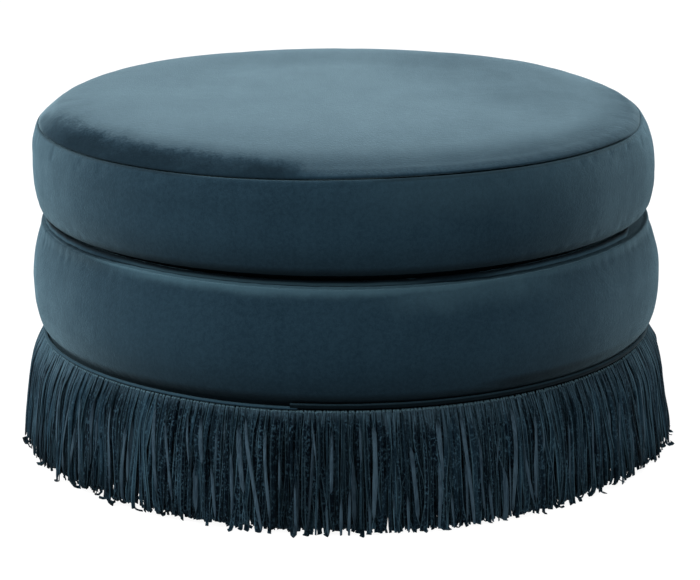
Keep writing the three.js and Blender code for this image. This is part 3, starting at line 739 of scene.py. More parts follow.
def sides(z, heights, left, right, phi):
    """A sideways offset that goes from the left column to the right one round the object."""
    z = z[:, 0]
    lo = np.interp(z, heights, left)[:, None]
    hi = np.interp(z, heights, right)[:, None]
    w = ((1 + np.sin(phi)) / 2)[None, :]
    return lo * (1 - w) + hi * w


def arc(curve):
    return np.concatenate([[0], np.cumsum(np.linalg.norm(np.diff(curve, axis=0), axis=1))])


def settle(outer_mm, shape, first, last, columns, seed, cap, reach=(30, 30), full=0.010, taut=0.003, pressure=4.0,
           bend=12.0, hold=24.0, frames=20, gain=1.0):
    """Cloth simulation of one cover: the panel between two points of its outline, in mm along it, is sewn fast
    along both edges, a little too full within reach of them and drawn taut in the middle, and is pressed out by
    the stuffing until it settles. Gives how far the cloth moved along its normal at each row and angle, in mm,
    without the even swelling and the slow drift of each row, which the measured outline already has, and the
    place of the rows along the outline. The movement is taken times gain, and no more than cap."""
    curve = spline(outer_mm, 400)
    s = arc(curve)
    rows = max(int(round((last - first) / 7.0)), 6)
    at = np.linspace(first, last, rows)
    c = np.stack([np.interp(at, s, curve[:, k]) for k in range(2)], 1)
    normals = normals2(curve)
    n2 = np.stack([np.interp(at, s, normals[:, k]) for k in range(2)], 1)
    n2 /= np.linalg.norm(n2, axis=1, keepdims=True)
    phi = np.arange(columns) / columns * TAU - math.pi
    R, Z, D = shape(c, n2, phi)
    g = np.random.default_rng(seed)
    loose = 0.25 * g.normal(0, 1, (rows, columns))
    for k in (1, 2):
        loose = (loose + np.roll(loose, k, 1)) / 1.41
    loose[[0, -1]] = 0
    P = around((R + n2[:, :1] * (D + loose)) * MM, (Z + n2[:, 1:] * (D + loose)) * MM, phi[None, :])
    idx = np.arange(rows * columns).reshape(rows, columns)
    a, b = idx[:-1], idx[1:]
    quads = np.stack([a, b, np.roll(b, -1, 1), np.roll(a, -1, 1)], -1).reshape(-1, 4)
    m = rows // 2  # the first column is at the back, where outward is along Y
    out = np.cross(P[m + 1, 0] - P[m, 0], P[m, 1] - P[m, 0]) @ np.array([0, n2[m, 0], n2[m, 1]])
    me = bpy.data.meshes.new("panel")
    me.from_pydata(P.reshape(-1, 3).tolist(), [], (quads if out > 0 else quads[:, ::-1]).tolist())
    me.update()
    ob = link("panel", me)
    pin = ob.vertex_groups.new(name="sewn")
    pin.add([int(i) for i in np.concatenate([idx[0], idx[-1]])], 1.0, "REPLACE")
    middle = ob.vertex_groups.new(name="middle")
    near = np.minimum((at - first) / reach[0], (last - at) / reach[1])
    for i, w in enumerate(smoothstep(near, 0, 1)):
        middle.add([int(j) for j in idx[i]], float(w), "REPLACE")
    mod = ob.modifiers.new("cloth", "CLOTH")
    st = mod.settings
    st.quality = 6
    st.mass = 0.25
    st.tension_stiffness = st.compression_stiffness = hold
    st.shear_stiffness = hold / 3
    st.bending_stiffness = bend
    st.air_damping = 2.0
    st.vertex_group_mass = "sewn"
    st.vertex_group_shrink = "middle"
    st.shrink_min, st.shrink_max = -full, taut
    st.use_pressure = True
    st.uniform_pressure_force = pressure
    st.effector_weights.gravity = 0.0
    mod.collision_settings.use_collision = False
    mod.point_cache.frame_start, mod.point_cache.frame_end = 1, frames
    for f in range(1, frames + 1):
        scene.frame_set(f)
    dg = bpy.context.evaluated_depsgraph_get()
    got = ob.evaluated_get(dg).to_mesh()
    Q = np.zeros(rows * columns * 3, np.float32)
    got.vertices.foreach_get("co", Q)
    ob.evaluated_get(dg).to_mesh_clear()
    scene.frame_set(1)
    bpy.data.objects.remove(ob, do_unlink=True)
    bpy.data.meshes.remove(me)
    move = (Q.reshape(rows, columns, 3) - P) / MM
    radial = np.stack([np.sin(phi), -np.cos(phi)], -1)[None]
    dn = (move[..., :2] * radial).sum(-1) * n2[:, :1] + move[..., 2] * n2[:, 1:]
    wave = np.fft.rfft(dn, axis=1)
    wave[:, :7] = 0
    dn = np.fft.irfft(wave, columns, axis=1)
    return at, cap * np.tanh(gain * dn / cap)


def field(settled, curve, phi):
    """That movement, at the rows of another curve along the same outline and at other angles."""
    if settled is None:
        return 0.0
    at, dn = settled
    n = dn.shape[1]
    fade = np.ones(len(at))
    fade[[0, -1]] = 0
    dn = dn * fade[:, None]
    s = arc(curve)
    k = np.clip(np.interp(s, at, np.arange(len(at))), 0, len(at) - 1)
    i = np.minimum(k.astype(int), len(at) - 2)
    t = (k - i)[:, None]
    t = t * t * (3 - 2 * t)
    rows = dn[i] * (1 - t) + dn[i + 1] * t
    q = (phi + math.pi) / TAU * n
    j = np.floor(q).astype(int)
    u = q - j

    def col(o):
        return rows[:, (j + o) % n]
    # smooth through four columns
    return (col(-1) * (-u ** 3 + 2 * u ** 2 - u) + col(0) * (3 * u ** 3 - 5 * u ** 2 + 2)
            + col(1) * (-3 * u ** 3 + 4 * u ** 2 + u) + col(2) * (u ** 3 - u ** 2)) / 2


def shell(name, outer_mm, seg_points, phi, shape, thickness, poles=False, settled=None):
    """A cover panel with an outer face and an inner face. shape(curve, phi) gives the radius and
    height in mm of the outer face for each row and angle, and how far to move along its normal."""
    curve = spline(outer_mm, seg_points)
    n2 = normals2(curve)
    R, Z, D = shape(curve, n2, phi)
    D = D + field(settled, curve, phi)
    nr, nz = n2[:, 0][:, None], n2[:, 1][:, None]
    outer = around((R + nr * D) * MM, (Z + nz * D) * MM, phi[None, :])
    # the inner face lies one thickness below, moved with the outer one
    inner_r = np.maximum(R + nr * (D - thickness), 0.0)
    inner = around(inner_r * MM, (Z + nz * (D - thickness)) * MM, phi[None, :])
    if poles:
        outer[0, :, :2] = 0
        inner[0, :, :2] = 0
        P = np.concatenate([outer, inner[::-1]])
        return link(name, grid(name, P, pole_start=True, pole_end=True))
    P = np.concatenate([outer, inner[::-1]])
    return link(name, grid(name, P, close_rows=True))


TOP = [(0, 411.4), (60, 411.4), (150, 411.0), (210, 410.0), (255, 408.6), (290, 406.7), (315, 404.5), (333, 402.0),
       (345.5, 399.2), (354.2, 395.8), (359.6, 392.6), (361.9, 390.6), (361.6, 389.6), (359.2, 389.2), (354.0, 389.1), (347.0, 389.0)]


def top_shape(curve, n2, phi):
    r, z = curve[:, 0][:, None], curve[:, 1][:, None]
    near = smoothstep(r, 325, 362)  # the edge follows the seam
    full = smoothstep(r, 190, 332) * (1 - smoothstep(r, 338, 361))
    roll = soft_corner(phi)[None, :]
    Z = z + near * seam_height(phi)[None, :] + full * shoulder(phi)[None, :] - 1.6 * roll * near
    R = r - 9.5 * roll * smoothstep(r, 290, 362)
    Z = Z - 2.1 * closed_seam(phi)[None, :] * smoothstep(r, 348, 360.5)
    R = R - 0.7 * closed_seam(phi)[None, :] * smoothstep(r, 350, 360.5)
    # gentle unevenness of the stuffing, and short puckers against the seam
    a = waves(np.random.default_rng(3), phi, 2, 9, 8)[None, :]
    b = waves(np.random.default_rng(4), phi, 60, 260, 60)[None, :]
    D = 0.5 * a * smoothstep(r, 60, 240) + 0.07 * b * smoothstep(r, 345, 361)
    return R, Z, D


# normals2 points left as the curve runs outward, which is up and out
top_settled = settle(TOP, top_shape, 150.0, 364.0, 288, 41, 0.40, (1, 40), full=0.003, gain=0.15)
top_panel = shell("top_panel", TOP, 100, PHI, top_shape, 1.3, poles=True, settled=top_settled)
piece(top_panel, mat_top, "velvet", "top_cover")

UPPER = [(347.0, 387.5), (354.0, 387.6), (359.4, 387.8), (361.9, 388.5), (363.6, 388.3), (364.9, 386.0), (366.4, 380.0),
         (368.6, 368.0), (370.4, 353.0), (371.1, 339.0), (370.7, 324.0), (369.3, 311.0), (366.9, 299.0), (364.2, 290.2),
         (360.6, 285.0), (355.5, 282.4), (349.5, 281.3), (345.0, 280.6), (342.6, 278.0), (342.3, 272.0), (342.3, 263.0)]
UPPER_AT = [270, 280, 287, 294, 302, 309, 317, 324, 331, 339, 346, 353, 361, 368, 375, 383, 391]
UPPER_L = [0, -1.2, -0.5, 0.0, 0.4, 0.3, 0.3, 0.0, 0.0, 0.0, 0.0, 0.4, 1.3, 1.6, 1.0, 0.4, 0.0]
UPPER_R = [0, 0.4, 0.2, 0.0, -0.2, -0.3, -0.7, -1.2, -1.0, -0.9, -0.6, -0.3, 0.0, 0.0, 0.0, 0.0, 0.0]


def upper_shape(curve, n2, phi):
    r, z = curve[:, 0][:, None], curve[:, 1][:, None]
    near = smoothstep(z, 350, 388)
    roll = soft_corner(phi)[None, :]
    Z = z + near * seam_height(phi)[None, :] - 1.6 * roll * near
    a = waves(np.random.default_rng(5), phi, 2, 10, 9)[None, :]
    b = waves(np.random.default_rng(6), phi, 60, 240, 60)[None, :]
    c = waves(np.random.default_rng(7), phi, 30, 130, 50)[None, :]
    D = 0.6 * a * bump(z, 300, 370, 16) + 0.06 * b * smoothstep(z, 374, 388) + 0.12 * c * smoothstep(z, 304, 286)
    R = r + sides(z, UPPER_AT, UPPER_L, UPPER_R, phi) - 9.5 * roll * np.clip((z - 300) / 88, 0, 1) ** 2.4
    R = R - 1.0 * closed_seam(phi)[None, :] * smoothstep(z, 376, 388.4)
    return R, Z, D


# the curve runs down, so its left is outward
upper_settled = settle(UPPER, upper_shape, 16.0, 122.0, 320, 42, 0.40, gain=0.55)
upper_band = shell("upper_band", UPPER, 84, PHI, upper_shape, 1.3, settled=upper_settled)
piece(upper_band, mat_band, "velvet", "upper_band_cover")

# ------------------------------------------------------------------ lower tier
LOWER = [(342.7, 273.1), (344.5, 273.1), (347.0, 272.6), (351.0, 271.2), (356.0, 269.6), (359.0, 267.6), (360.6, 267.0),
         (362.6, 268.4), (365.2, 266.6), (368.0, 259.4), (371.5, 248.5), (374.6, 234.0), (376.5, 219.0), (377.0, 204.0),
         (376.3, 187.0), (374.7, 171.0), (372.2, 158.5), (368.4, 149.6), (363.0, 143.6), (360.2, 140.4), (359.6, 137.0),
         (359.8, 127.2)]
LOWER_AT = [127, 137, 144, 152, 160, 167, 175, 182, 190, 197, 205, 212, 220, 228, 235, 243, 250, 257, 265, 272]
LOWER_L = [-0.4, -1.4, -2.4, -1.7, -1.7, -1.3, -1.0, -1.2, -1.4, -1.5, -1.4, -1.8, -2.2, -2.3, -2.6, -3.2, -3.6, -4.0, -2.8, 0.0]
LOWER_R = [0.0, 1.0, 1.6, 1.4, 1.0, 0.8, 0.8, 0.8, 0.6, 0.3, 0.1, 0.0, -0.2, -0.8, -1.8, -2.6, -2.9, -3.6, -2.2, 0.0]


def lower_shape(curve, n2, phi):
    r, z = curve[:, 0][:, None], curve[:, 1][:, None]
    a = waves(np.random.default_rng(8), phi, 2, 10, 9)[None, :]
    b = waves(np.random.default_rng(9), phi, 30, 150, 60)[None, :]
    c = waves(np.random.default_rng(10), phi, 50, 200, 60)[None, :]
    D = 0.6 * a * bump(z, 170, 240, 20) + 0.16 * b * bump(z, 256, 267, 12) + 0.10 * c * smoothstep(z, 158, 146)
    lift = edge_lift(phi)[None, :] * smoothstep(z, 222, 262)
    return r + sides(z, LOWER_AT, LOWER_L, LOWER_R, phi), z + lift, D


lower_settled = settle(LOWER, lower_shape, 20.0, 156.0, 320, 43, 0.40, gain=0.55)
lower_band = shell("lower_band", LOWER, 100, PHI, lower_shape, 1.3, settled=lower_settled)
level = spline(LOWER, 100)[:, 1] * MM  # the height before the edge's rise and fall
lower_band.data.attributes.new("level", "FLOAT", "POINT").data.foreach_set(
    "value", np.repeat(np.concatenate([level, level[::-1]]), SEG).astype(np.float32))
piece(lower_band, mat_band_low, "velvet", "lower_band_cover")


# ----------------------------------------------------------------------- welts
def tube(name, phi, r, z, half_w, half_h, tilt, sections=14, power=2.4, ends=True, rough=None,
         shade=None, shine=None):
    """A padded piping along an arc: r, z in mm at each angle, a rounded-box section that leans by tilt.
    shade and shine give the painted shade and painted highlight on it, from the angle and the place on
    the section (up, out)."""
    n = len(phi)
    u = np.arange(sections) / sections * TAU
    cx = np.sign(np.cos(u)) * np.abs(np.cos(u)) ** (2 / power)
    cz = np.sign(np.sin(u)) * np.abs(np.sin(u)) ** (2 / power)
    w = (half_w * np.ones(n))[:, None] * cx[None, :]
    h = (half_h * np.ones(n))[:, None] * cz[None, :]
    ca, sa = np.cos(tilt * np.ones(n))[:, None], np.sin(tilt * np.ones(n))[:, None]
    R = (r * np.ones(n))[:, None] + w * ca - h * sa
    Z = (z * np.ones(n))[:, None] + w * sa + h * ca
    if rough is not None:
        R = R + rough[0]
        Z = Z + rough[1]
    P = around(R * MM, Z * MM, phi[:, None])
    rows = np.arange(n * sections).reshape(n, sections)
    a, b = rows[:-1], rows[1:]
    quads = np.stack([a, b, np.roll(b, -1, 1), np.roll(a, -1, 1)], -1).reshape(-1, 4)
    verts = P.reshape(-1, 3)
    tris = None
    if ends:
        c0, c1 = P[0].mean(0), P[-1].mean(0)
        verts = np.vstack([verts, c0, c1])
        i0, i1 = len(verts) - 2, len(verts) - 1
        e0, e1 = rows[0], rows[-1]
        tris = np.concatenate([
            np.stack([np.full(sections, i0), e0, np.roll(e0, -1)], -1),
            np.stack([np.full(sections, i1), np.roll(e1, -1), e1], -1),
        ])
    ob = link(name, mesh_from(name, verts, quads, tris))
    for key, value in (("shade", shade), ("shine", shine)):
        at = ob.data.attributes.new(key, "FLOAT", "POINT")
        data = np.zeros(len(ob.data.vertices), np.float32)
        if value is not None:
            data[:n * sections] = np.clip(value(phi[:, None], np.sin(u)[None, :], np.cos(u)[None, :]), 0, 1).ravel()
        at.data.foreach_set("value", data)
    return ob


# The middle welt lies on the lower band's shoulder. Its two ends are tucked into the groove at the right.
def welt_painted_shade(p, up):
    """Painted shade all over where it is drawn in at the front, elsewhere only above, and along its underside."""
    d = np.degrees(wrap(p))
    front = smoothstep(d, -66, -30) * (1 - smoothstep(d, 24, 44))
    level = (0.62 + 0.34 * smoothstep(up, -0.50, 0.30)) * front + smoothstep(up, -0.25, 0.55) * (1 - front) * 0.95
    return level + smoothstep(-up, 0.82, 0.98) * 0.9


def welt_painted_highlight(p, up):
    """A thin painted highlight along its lower side, plainest at both ends of what is seen."""
    d = np.degrees(wrap(p))
    far_left = 1 - smoothstep(d, -80, -46)
    far_right = smoothstep(d, 50, 60) * (1 - smoothstep(d, 64, 68)) * 0.7
    line = smoothstep(up, -0.95, -0.6) * (1 - smoothstep(up, -0.2, 0.35))
    front = 0.75 * bump(d, -38, 8, 10) + 0.48 * bump(d, 30, 52, 8)
    return 0.42 * line * (far_left * (np.abs(d) < 140) + far_right * (d > 0) + front)


END_A, END_B = math.radians(68.0), math.radians(84.0)
phi_w = np.linspace(END_B - TAU, END_A, 900)
tuck = np.maximum(smoothstep(phi_w, END_A - 0.075, END_A), smoothstep(phi_w, END_B - TAU + 0.075, END_B - TAU))
wob = waves(np.random.default_rng(21), phi_w, 20, 90, 30)
away = bump(np.degrees(wrap(phi_w)), -36, 12, 14)  # drawn in at the front
mid_welt = tube(
    "mid_welt_piping", phi_w,
    r=355.8 + 0.35 * wob - 4.0 * tuck - 3.6 * away, z=273.4 + edge_lift(wrap(phi_w)) - 1.2 * away + 0.3 * waves(np.random.default_rng(22), phi_w, 10, 50, 20) + 1.2 * tuck,
    half_w=3.0 * (1 - 0.35 * tuck), half_h=3.5 * (1 - 0.45 * tuck), tilt=math.radians(18), sections=24, power=2.5,
    shade=lambda p, up, out: welt_painted_shade(p, up), shine=lambda p, up, out: welt_painted_highlight(p, up),
)
piece(mid_welt, mat_welt, "velvet", "mid_welt")

# The base welt closes the lower groove, thin on the left of its join and fuller on the right.
JOIN = math.radians(-9.6)
phi_a = np.linspace(JOIN - math.radians(190), JOIN + math.radians(1.2), 560)
phi_b = np.linspace(JOIN, JOIN + math.radians(171), 520)
wa = waves(np.random.default_rng(23), phi_a, 20, 120, 40)
# painted shade on the base welts below their tops, and a painted highlight along their tops
base_left = tube("base_welt_left", phi_a, r=364.4 + 0.2 * wa, z=133.4 + 0.2 * wa + header_rise(wrap(phi_a)), half_w=1.9, half_h=1.9,
                 tilt=0.0, sections=20, power=2.0, shade=lambda p, up, out: smoothstep(-up, 0.25, 0.6) + 0 * p,
                 shine=lambda p, up, out: 0.26 * smoothstep(up, -0.1, 0.5) + 0 * p)
wb = waves(np.random.default_rng(24), phi_b, 20, 120, 40)
base_right = tube("base_welt_right", phi_b, r=364.6 + 0.25 * wb, z=136.3 + 0.2 * wb + header_rise(phi_b), half_w=2.5, half_h=3.0,
                  tilt=math.radians(-14), sections=20, power=1.7, shade=lambda p, up, out: 0.9 * (1 - smoothstep(up, 0.55, 0.9)) + 0 * p,
                  shine=lambda p, up, out: 0.16 * smoothstep(up, 0.6, 0.95) + 0 * p)
piece(base_left, mat_welt, "velvet", "base_welt")
piece(base_right, mat_piping_shaded, "velvet", "base_welt")

# ---------------------------------------------------------------------- fringe
header = lathe("fringe_header_tape", spline([(360.4, 122.2), (362.2, 122.2), (362.4, 127.5), (362.2, 132.4), (360.4, 132.4)], 24), 360)
piece(header, mat_fringe, "fringe_velvet", "fringe_header")

LAYERS = {
    "outer": [(363.4, 130.6), (364.4, 130.2), (366.2, 127.4), (369.2, 121.6), (374.2, 112.4), (379.2, 100.5), (382.8, 85.0),
              (385.2, 66.0), (387.4, 46.0), (389.1, 24.0), (390.4, 2.0)],
    "middle": [(363.2, 129.2), (364.4, 126.8), (367.2, 120.5), (371.6, 109.5), (375.8, 95.0), (378.9, 75.0), (381.2, 52.0),
               (383.2, 28.0), (384.8, 2.0)],
    "inner": [(363.0, 127.0), (364.8, 123.5), (368.0, 113.0), (371.9, 97.0), (374.6, 75.0), (376.6, 50.0), (378.3, 27.0), (379.6, 2.0)],
}


def front_tone_and_light(phi):
    """Stretches of the fringe whose pile is darker or lighter, from left to right as seen from the front: partly the
    pile's own tone, and at the two flanks painted light.
    """
    d = np.degrees(phi)
    out = 0.24 * bump(d, -84, -46, 10) - 0.22 * bump(d, -42, 34, 8) - 0.16 * bump(d, -11, 1, 3) - 0.14 * bump(d, 6, 12, 2)
    out += -0.06 * bump(d, 38, 60, 4) + 0.20 * bump(d, 52, 95, 8)
    return out


def root_length(phi):
    """How far down the painted light on the ribbons reaches below the header, as a share of their length."""
    return round_table(phi, [-180, -90, -60, -42, -30, -12, 5, 9, 28, 34, 60, 90, 180],
                       [0.34, 0.34, 0.26, 0.13, 0.09, 0.10, 0.11, 0.23, 0.23, 0.25, 0.32, 0.34, 0.34], 31)


def strips(layer, count, seed, width, spread, flips, tips, curl_share, long_share, uneven, points=24):
    """One layer of the fringe: cut ribbons that leave the header side by side, flare and hang, each with
    its own width, twist, drift and length, clumped with its neighbours. Some turn over and show their
    back for a part of their length. tips is the height that the cut ends hang at, in mm."""
    g = np.random.default_rng(seed)
    base = spline(LAYERS[layer], 160) * MM
    drop = np.concatenate([[0], np.cumsum(np.linalg.norm(np.diff(base, axis=0), axis=1))])
    total = drop[-1]
    k = np.arange(count)
    phi0 = (k + g.uniform(-0.24, 0.24, count)) / count * TAU - math.pi
    # length: nearly level, in low waves, a few long ones
    level = tips + uneven * (waves(np.random.default_rng(seed + 7), phi0, 8, 50, 20) + 0.35 * g.normal(0, 1, count))
    level = level - 2.0 - 4.0 * bump(np.degrees(phi0), 4, 40, 5) - 3.0 * bump(np.degrees(phi0), -13, -8, 3) - 6.5 * bump(np.degrees(phi0), 66, 90, 5)
    flank = smoothstep(np.abs(phi0), 0.45, 0.95)  # more curled ends away from the front
    grouped = np.clip(1 + 1.2 * waves(np.random.default_rng(seed + 8), phi0, 12, 60, 24), 0, 3)
    long_ones = g.random(count) < long_share * grouped * (1 - 0.45 * flank) * (1 - 0.8 * bump(np.degrees(phi0), -78, -34, 6))
    level = np.where(long_ones, g.uniform(-9.0, 3.0, count), level)
    curls = (g.random(count) < curl_share * (1 + 2.2 * flank)) & ~long_ones
    length = total - (np.clip(level, -10, 25) - 2.0) * MM + np.where(curls, g.uniform(1.0, 8.0, count), 0) * MM
    # away from the front some ends make a wide curl, and are longer by what it takes up
    own_curl = np.random.default_rng(seed + 11)
    wide_turn, wide_reach = own_curl.uniform(1.4, 2.9, count), own_curl.uniform(0.014, 0.024, count)
    wide_curl = curls & (flank > 0.35) & (own_curl.random(count) < 0.45)
    length = length + np.where(wide_curl, 0.75 * wide_reach * (1 - 1 / wide_turn), 0)
    s = np.linspace(0, 1, points)[None, :] * length[:, None]
    t = np.clip(s / total, 0, 1)
    r = np.interp(s, drop, base[:, 0])
    z = np.interp(s, drop, base[:, 1])
    over = np.maximum(s - total, 0)
    z = z - over
    # neighbours lean together, more towards the free ends
    lean = waves(np.random.default_rng(seed + 1), phi0, 20, 120, 40)
    lean2 = waves(np.random.default_rng(seed + 2), phi0, 60, 260, 60)
    own = g.normal(0, 1, count)
    spread = spread * (1 + 0.5 * flank)
    side = (spread * (1.4 * lean + 1.3 * lean2 + 1.0 * own))[:, None] * t ** 1.5 * MM
    side += (spread * 1.0 * g.normal(0, 1, count))[:, None] * np.sin(t * math.pi * g.uniform(0.8, 2.4, count)[:, None]) * MM
    bulge = (1.1 * waves(np.random.default_rng(seed + 3), phi0, 10, 60, 30) + 0.9 * g.normal(0, 1, count))[:, None]
    out = bulge * 1.4 * MM * t ** 1.2
    out += (g.normal(0, 0.8, count))[:, None] * np.sin(t * math.pi * 2 * g.uniform(0.5, 1.4, count)[:, None]) * MM * t
    r = np.maximum(r + out, np.where(z > 0.108, 0.3635, 0.3735))
    phi = phi0[:, None] + side / r
    z = z + (header_rise(phi0) + 0.5)[:, None] * MM * (1 - smoothstep(t, 0.05, 0.45))
    r = r + 3.0 * MM * (bump(np.degrees(phi0), 58, 100, 14) + 0.3 * bump(np.degrees(phi0), -100, -60, 14))[:, None] * smoothstep(t, 0.5, 1.0)
    C = around(r, z, phi)
    # curled ends: the last stretch bends over towards a level direction
    turn = np.where(curls, g.uniform(0.9, 3.1, count), g.uniform(0, 0.45, count))
    reach = np.where(curls, g.uniform(0.009, 0.018, count), g.uniform(0.010, 0.030, count))
    turn, reach = np.where(wide_curl, wide_turn, turn), np.where(wide_curl, wide_reach, reach)
    heading = g.uniform(-0.25, math.pi + 0.25, count)  # sideways or inward, hardly ever outward
    step = np.diff(C, axis=1)
    ds = np.linalg.norm(step, axis=2)
    T0 = step / ds[..., None]
    H = (np.cos(heading)[:, None, None] * np.stack([np.cos(phi0), np.sin(phi0), 0 * phi0], -1)[:, None, :]
         - np.sin(heading)[:, None, None] * np.stack([np.sin(phi0), -np.cos(phi0), 0 * phi0], -1)[:, None, :])
    mid = (s[:, 1:] + s[:, :-1]) / 2
    al = turn[:, None] * np.clip((mid - (length - reach)[:, None]) / reach[:, None], 0, 1)
    T1 = T0 * np.cos(al)[..., None] + H * np.sin(al)[..., None]
    C = C[:, :1] + np.concatenate([np.zeros((count, 1, 3)), np.cumsum(T1 * ds[..., None], axis=1)], 1)
    # nothing below the floor: what would be lies out along it; nothing inside the plinth
    below = np.maximum(0.0016 - C[..., 2], 0)
    C[..., 2] = np.maximum(C[..., 2], 0.0016)
    rr = np.hypot(C[..., 0], C[..., 1])
    C[..., :2] *= (1 + 0.85 * np.minimum(below, 0.012) / rr)[..., None]
    rr = np.hypot(C[..., 0], C[..., 1])
    lim = np.where(C[..., 2] > 0.108, 0.3632, 0.3728)
    C[..., :2] *= (np.maximum(rr, lim) / rr)[..., None]
    T = np.gradient(C, axis=1)
    T /= np.linalg.norm(T, axis=2, keepdims=True) + 1e-12
    radial = np.stack([np.sin(phi), -np.cos(phi), 0 * phi], -1)
    # the width direction is carried along the ribbon without spin
    W = np.zeros_like(C)
    w0 = np.cross(T[:, 0], radial[:, 0])
    w0 /= np.linalg.norm(w0, axis=1, keepdims=True)
    W[:, 0] = w0
    for i in range(1, points):
        w0 = w0 - T[:, i] * np.einsum("ij,ij->i", w0, T[:, i])[:, None]
        w0 /= np.linalg.norm(w0, axis=1, keepdims=True)
        W[:, i] = w0
    N = np.cross(W, T)
    # twist: small wandering, and for some ribbons a turn on to the back and often on round again
    x = s / length[:, None]
    tw = (g.normal(0, 0.30, count))[:, None] * smoothstep(x, 0.05, 0.6)
    tw += (g.normal(0, 0.28, count))[:, None] * np.sin(x * g.uniform(3, 9, count)[:, None]) * smoothstep(x, 0.05, 0.3)
    dens = flips * np.clip(1 + 0.9 * waves(np.random.default_rng(seed + 4), phi0, 5, 30, 20), 0.1, 2.2)
    flip = g.random(count) < dens
    a0, a1 = g.uniform(0.02, 0.38, count), g.uniform(0.18, 0.50, count)
    b0, b1 = g.uniform(0.66, 1.10, count), g.uniform(0.15, 0.40, count)
    sign = np.sign(g.normal(0, 1, count))
    tw += np.where(flip, sign, 0)[:, None] * math.pi * (
        smoothstep(x, a0[:, None], (a0 + a1)[:, None]) + smoothstep(x, b0[:, None], (b0 + b1)[:, None]))
    ca, sa = np.cos(tw)[..., None], np.sin(tw)[..., None]
    W, N = W * ca + N * sa, N * ca - W * sa
    w = width * np.exp(g.normal(0, 0.26, count))
    wide = (g.random(count) < 0.10) & ~flip
    w = np.where(wide, w * g.uniform(1.0, 1.5, count), w)
    w = np.where(long_ones, np.maximum(w, 3.6) * 1.30, w)
    # at the header the ribbons lie edge to edge, as one cloth that isn't cut yet
    pitch = TAU * 364.0 / count * g.uniform(0.86, 1.02, count)[:, None] * (1 - 0.20 * bump(np.degrees(phi0), 30, 80, 8))[:, None]
    own_w = smoothstep(x, 0.06, 0.24)
    w = (np.clip(w, 2.2, 6.4)[:, None] * own_w + pitch * (1 - own_w)) * MM
    w = w * (1 + 0.06 * np.sin(x * 30 * g.uniform(0.7, 1.3, count)[:, None] + g.uniform(0, TAU, count)[:, None]))
    th = (0.50 * MM) * (1 + 0 * s)
    off = [(-1, 0.0), (-0.62, 1.0), (0.62, 1.0), (1, 0.0), (0.62, -1.0), (-0.62, -1.0)]
    # the ends are cut a little aslant
    slant = np.zeros((count, points))
    slant[:, -1] = g.normal(0, 0.28, count)
    ring = [C + W * (w * 0.5 * a)[..., None] + N * (th * b)[..., None] + T * (slant * w * 0.5 * a)[..., None] for a, b in off]
    P = np.stack(ring, 2)  # strip, point, corner, xyz
    P[..., 2] = np.maximum(P[..., 2], 0.0008)
    tone = 0.36 + (0.20 + 0.10 * flank) * g.normal(0, 1, count) + 0.30 * waves(np.random.default_rng(seed + 5), phi0, 6, 40, 24) + front_tone_and_light(phi0)
    # along each ribbon the tone swells and fades: painted light where a twisted ribbon catches the sheen
    tone = tone[:, None] + 0.22 * np.sin(x * g.uniform(3, 8, count)[:, None] + g.uniform(0, TAU, count)[:, None])
    tone = np.clip(tone, 0, 1) ** 1.3
    # painted shade: how much light reaches the pile, less and less towards the ends, most of all at the sides
    lit = 1 - ((0.20 + 0.30 * flank) * np.where(long_ones, 0.2, 1.0))[:, None] * smoothstep(x, 0.60, 1.0) - 0.12 * g.random(count)[:, None] * x
    # darker still on a stretch just left of the front, below the root
    lit = lit * (1 - 0.42 * bump(np.degrees(phi0), -11.5, 1.5, 3)[:, None] * smoothstep(x, 0.10, 0.26))
    # painted shade on the curled ends, most of all at the left
    lit = lit * (1 - (0.50 * bump(np.degrees(phi0), -100, -28, 10) + 0.22 * bump(np.degrees(phi0), 40, 100, 10))[:, None] * smoothstep(x, 0.88, 0.985))
    # painted light on the tips of the long ribbons
    tone = np.clip(tone + (0.25 * long_ones)[:, None] * smoothstep(x, 0.75, 1.0), 0, 1)
    m = len(off)
    attr_tone = np.broadcast_to(tone[:, :, None], (count, points, m)).copy()
    attr_along = np.broadcast_to(x[:, :, None], (count, points, m)).copy()
    attr_lit = np.broadcast_to(lit[:, :, None], (count, points, m)).copy()
    # painted light on the stretch below the header, short at the front
    far = root_length(phi0) * np.exp(g.normal(0, 0.22, count))
    root = (1 - smoothstep(x, 0.25 * far[:, None], far[:, None])) * (np.clip(0.55 + 0.5 * tone[:, :1] + 0.12 * g.normal(0, 1, (count, 1)), 0, 1) * (1 - 0.35 * bump(np.degrees(phi0), -72, -40, 8))[:, None])
    # at the two sides the painted light is stronger still, and longer at the far left
    left = np.degrees(-phi0)
    away = smoothstep(-left, 56, 70) * (1 - smoothstep(-left, 110, 125)) * 0.75 + smoothstep(left, 52, 62) * (1 - smoothstep(left, 110, 125)) * (0.80 - 0.50 * smoothstep(left, 72, 84))
    root = root + away[:, None] * (1 - smoothstep(x, 0.10, 0.42)) * (0.65 + 0.35 * tone[:, :1])
    if layer != "outer":  # seen only between the others, in their shadow
        root = root * 0.3
    attr_root = np.broadcast_to(root[:, :, None], (count, points, m)).copy()
    return P, attr_tone, attr_along, attr_lit, attr_root, phi0


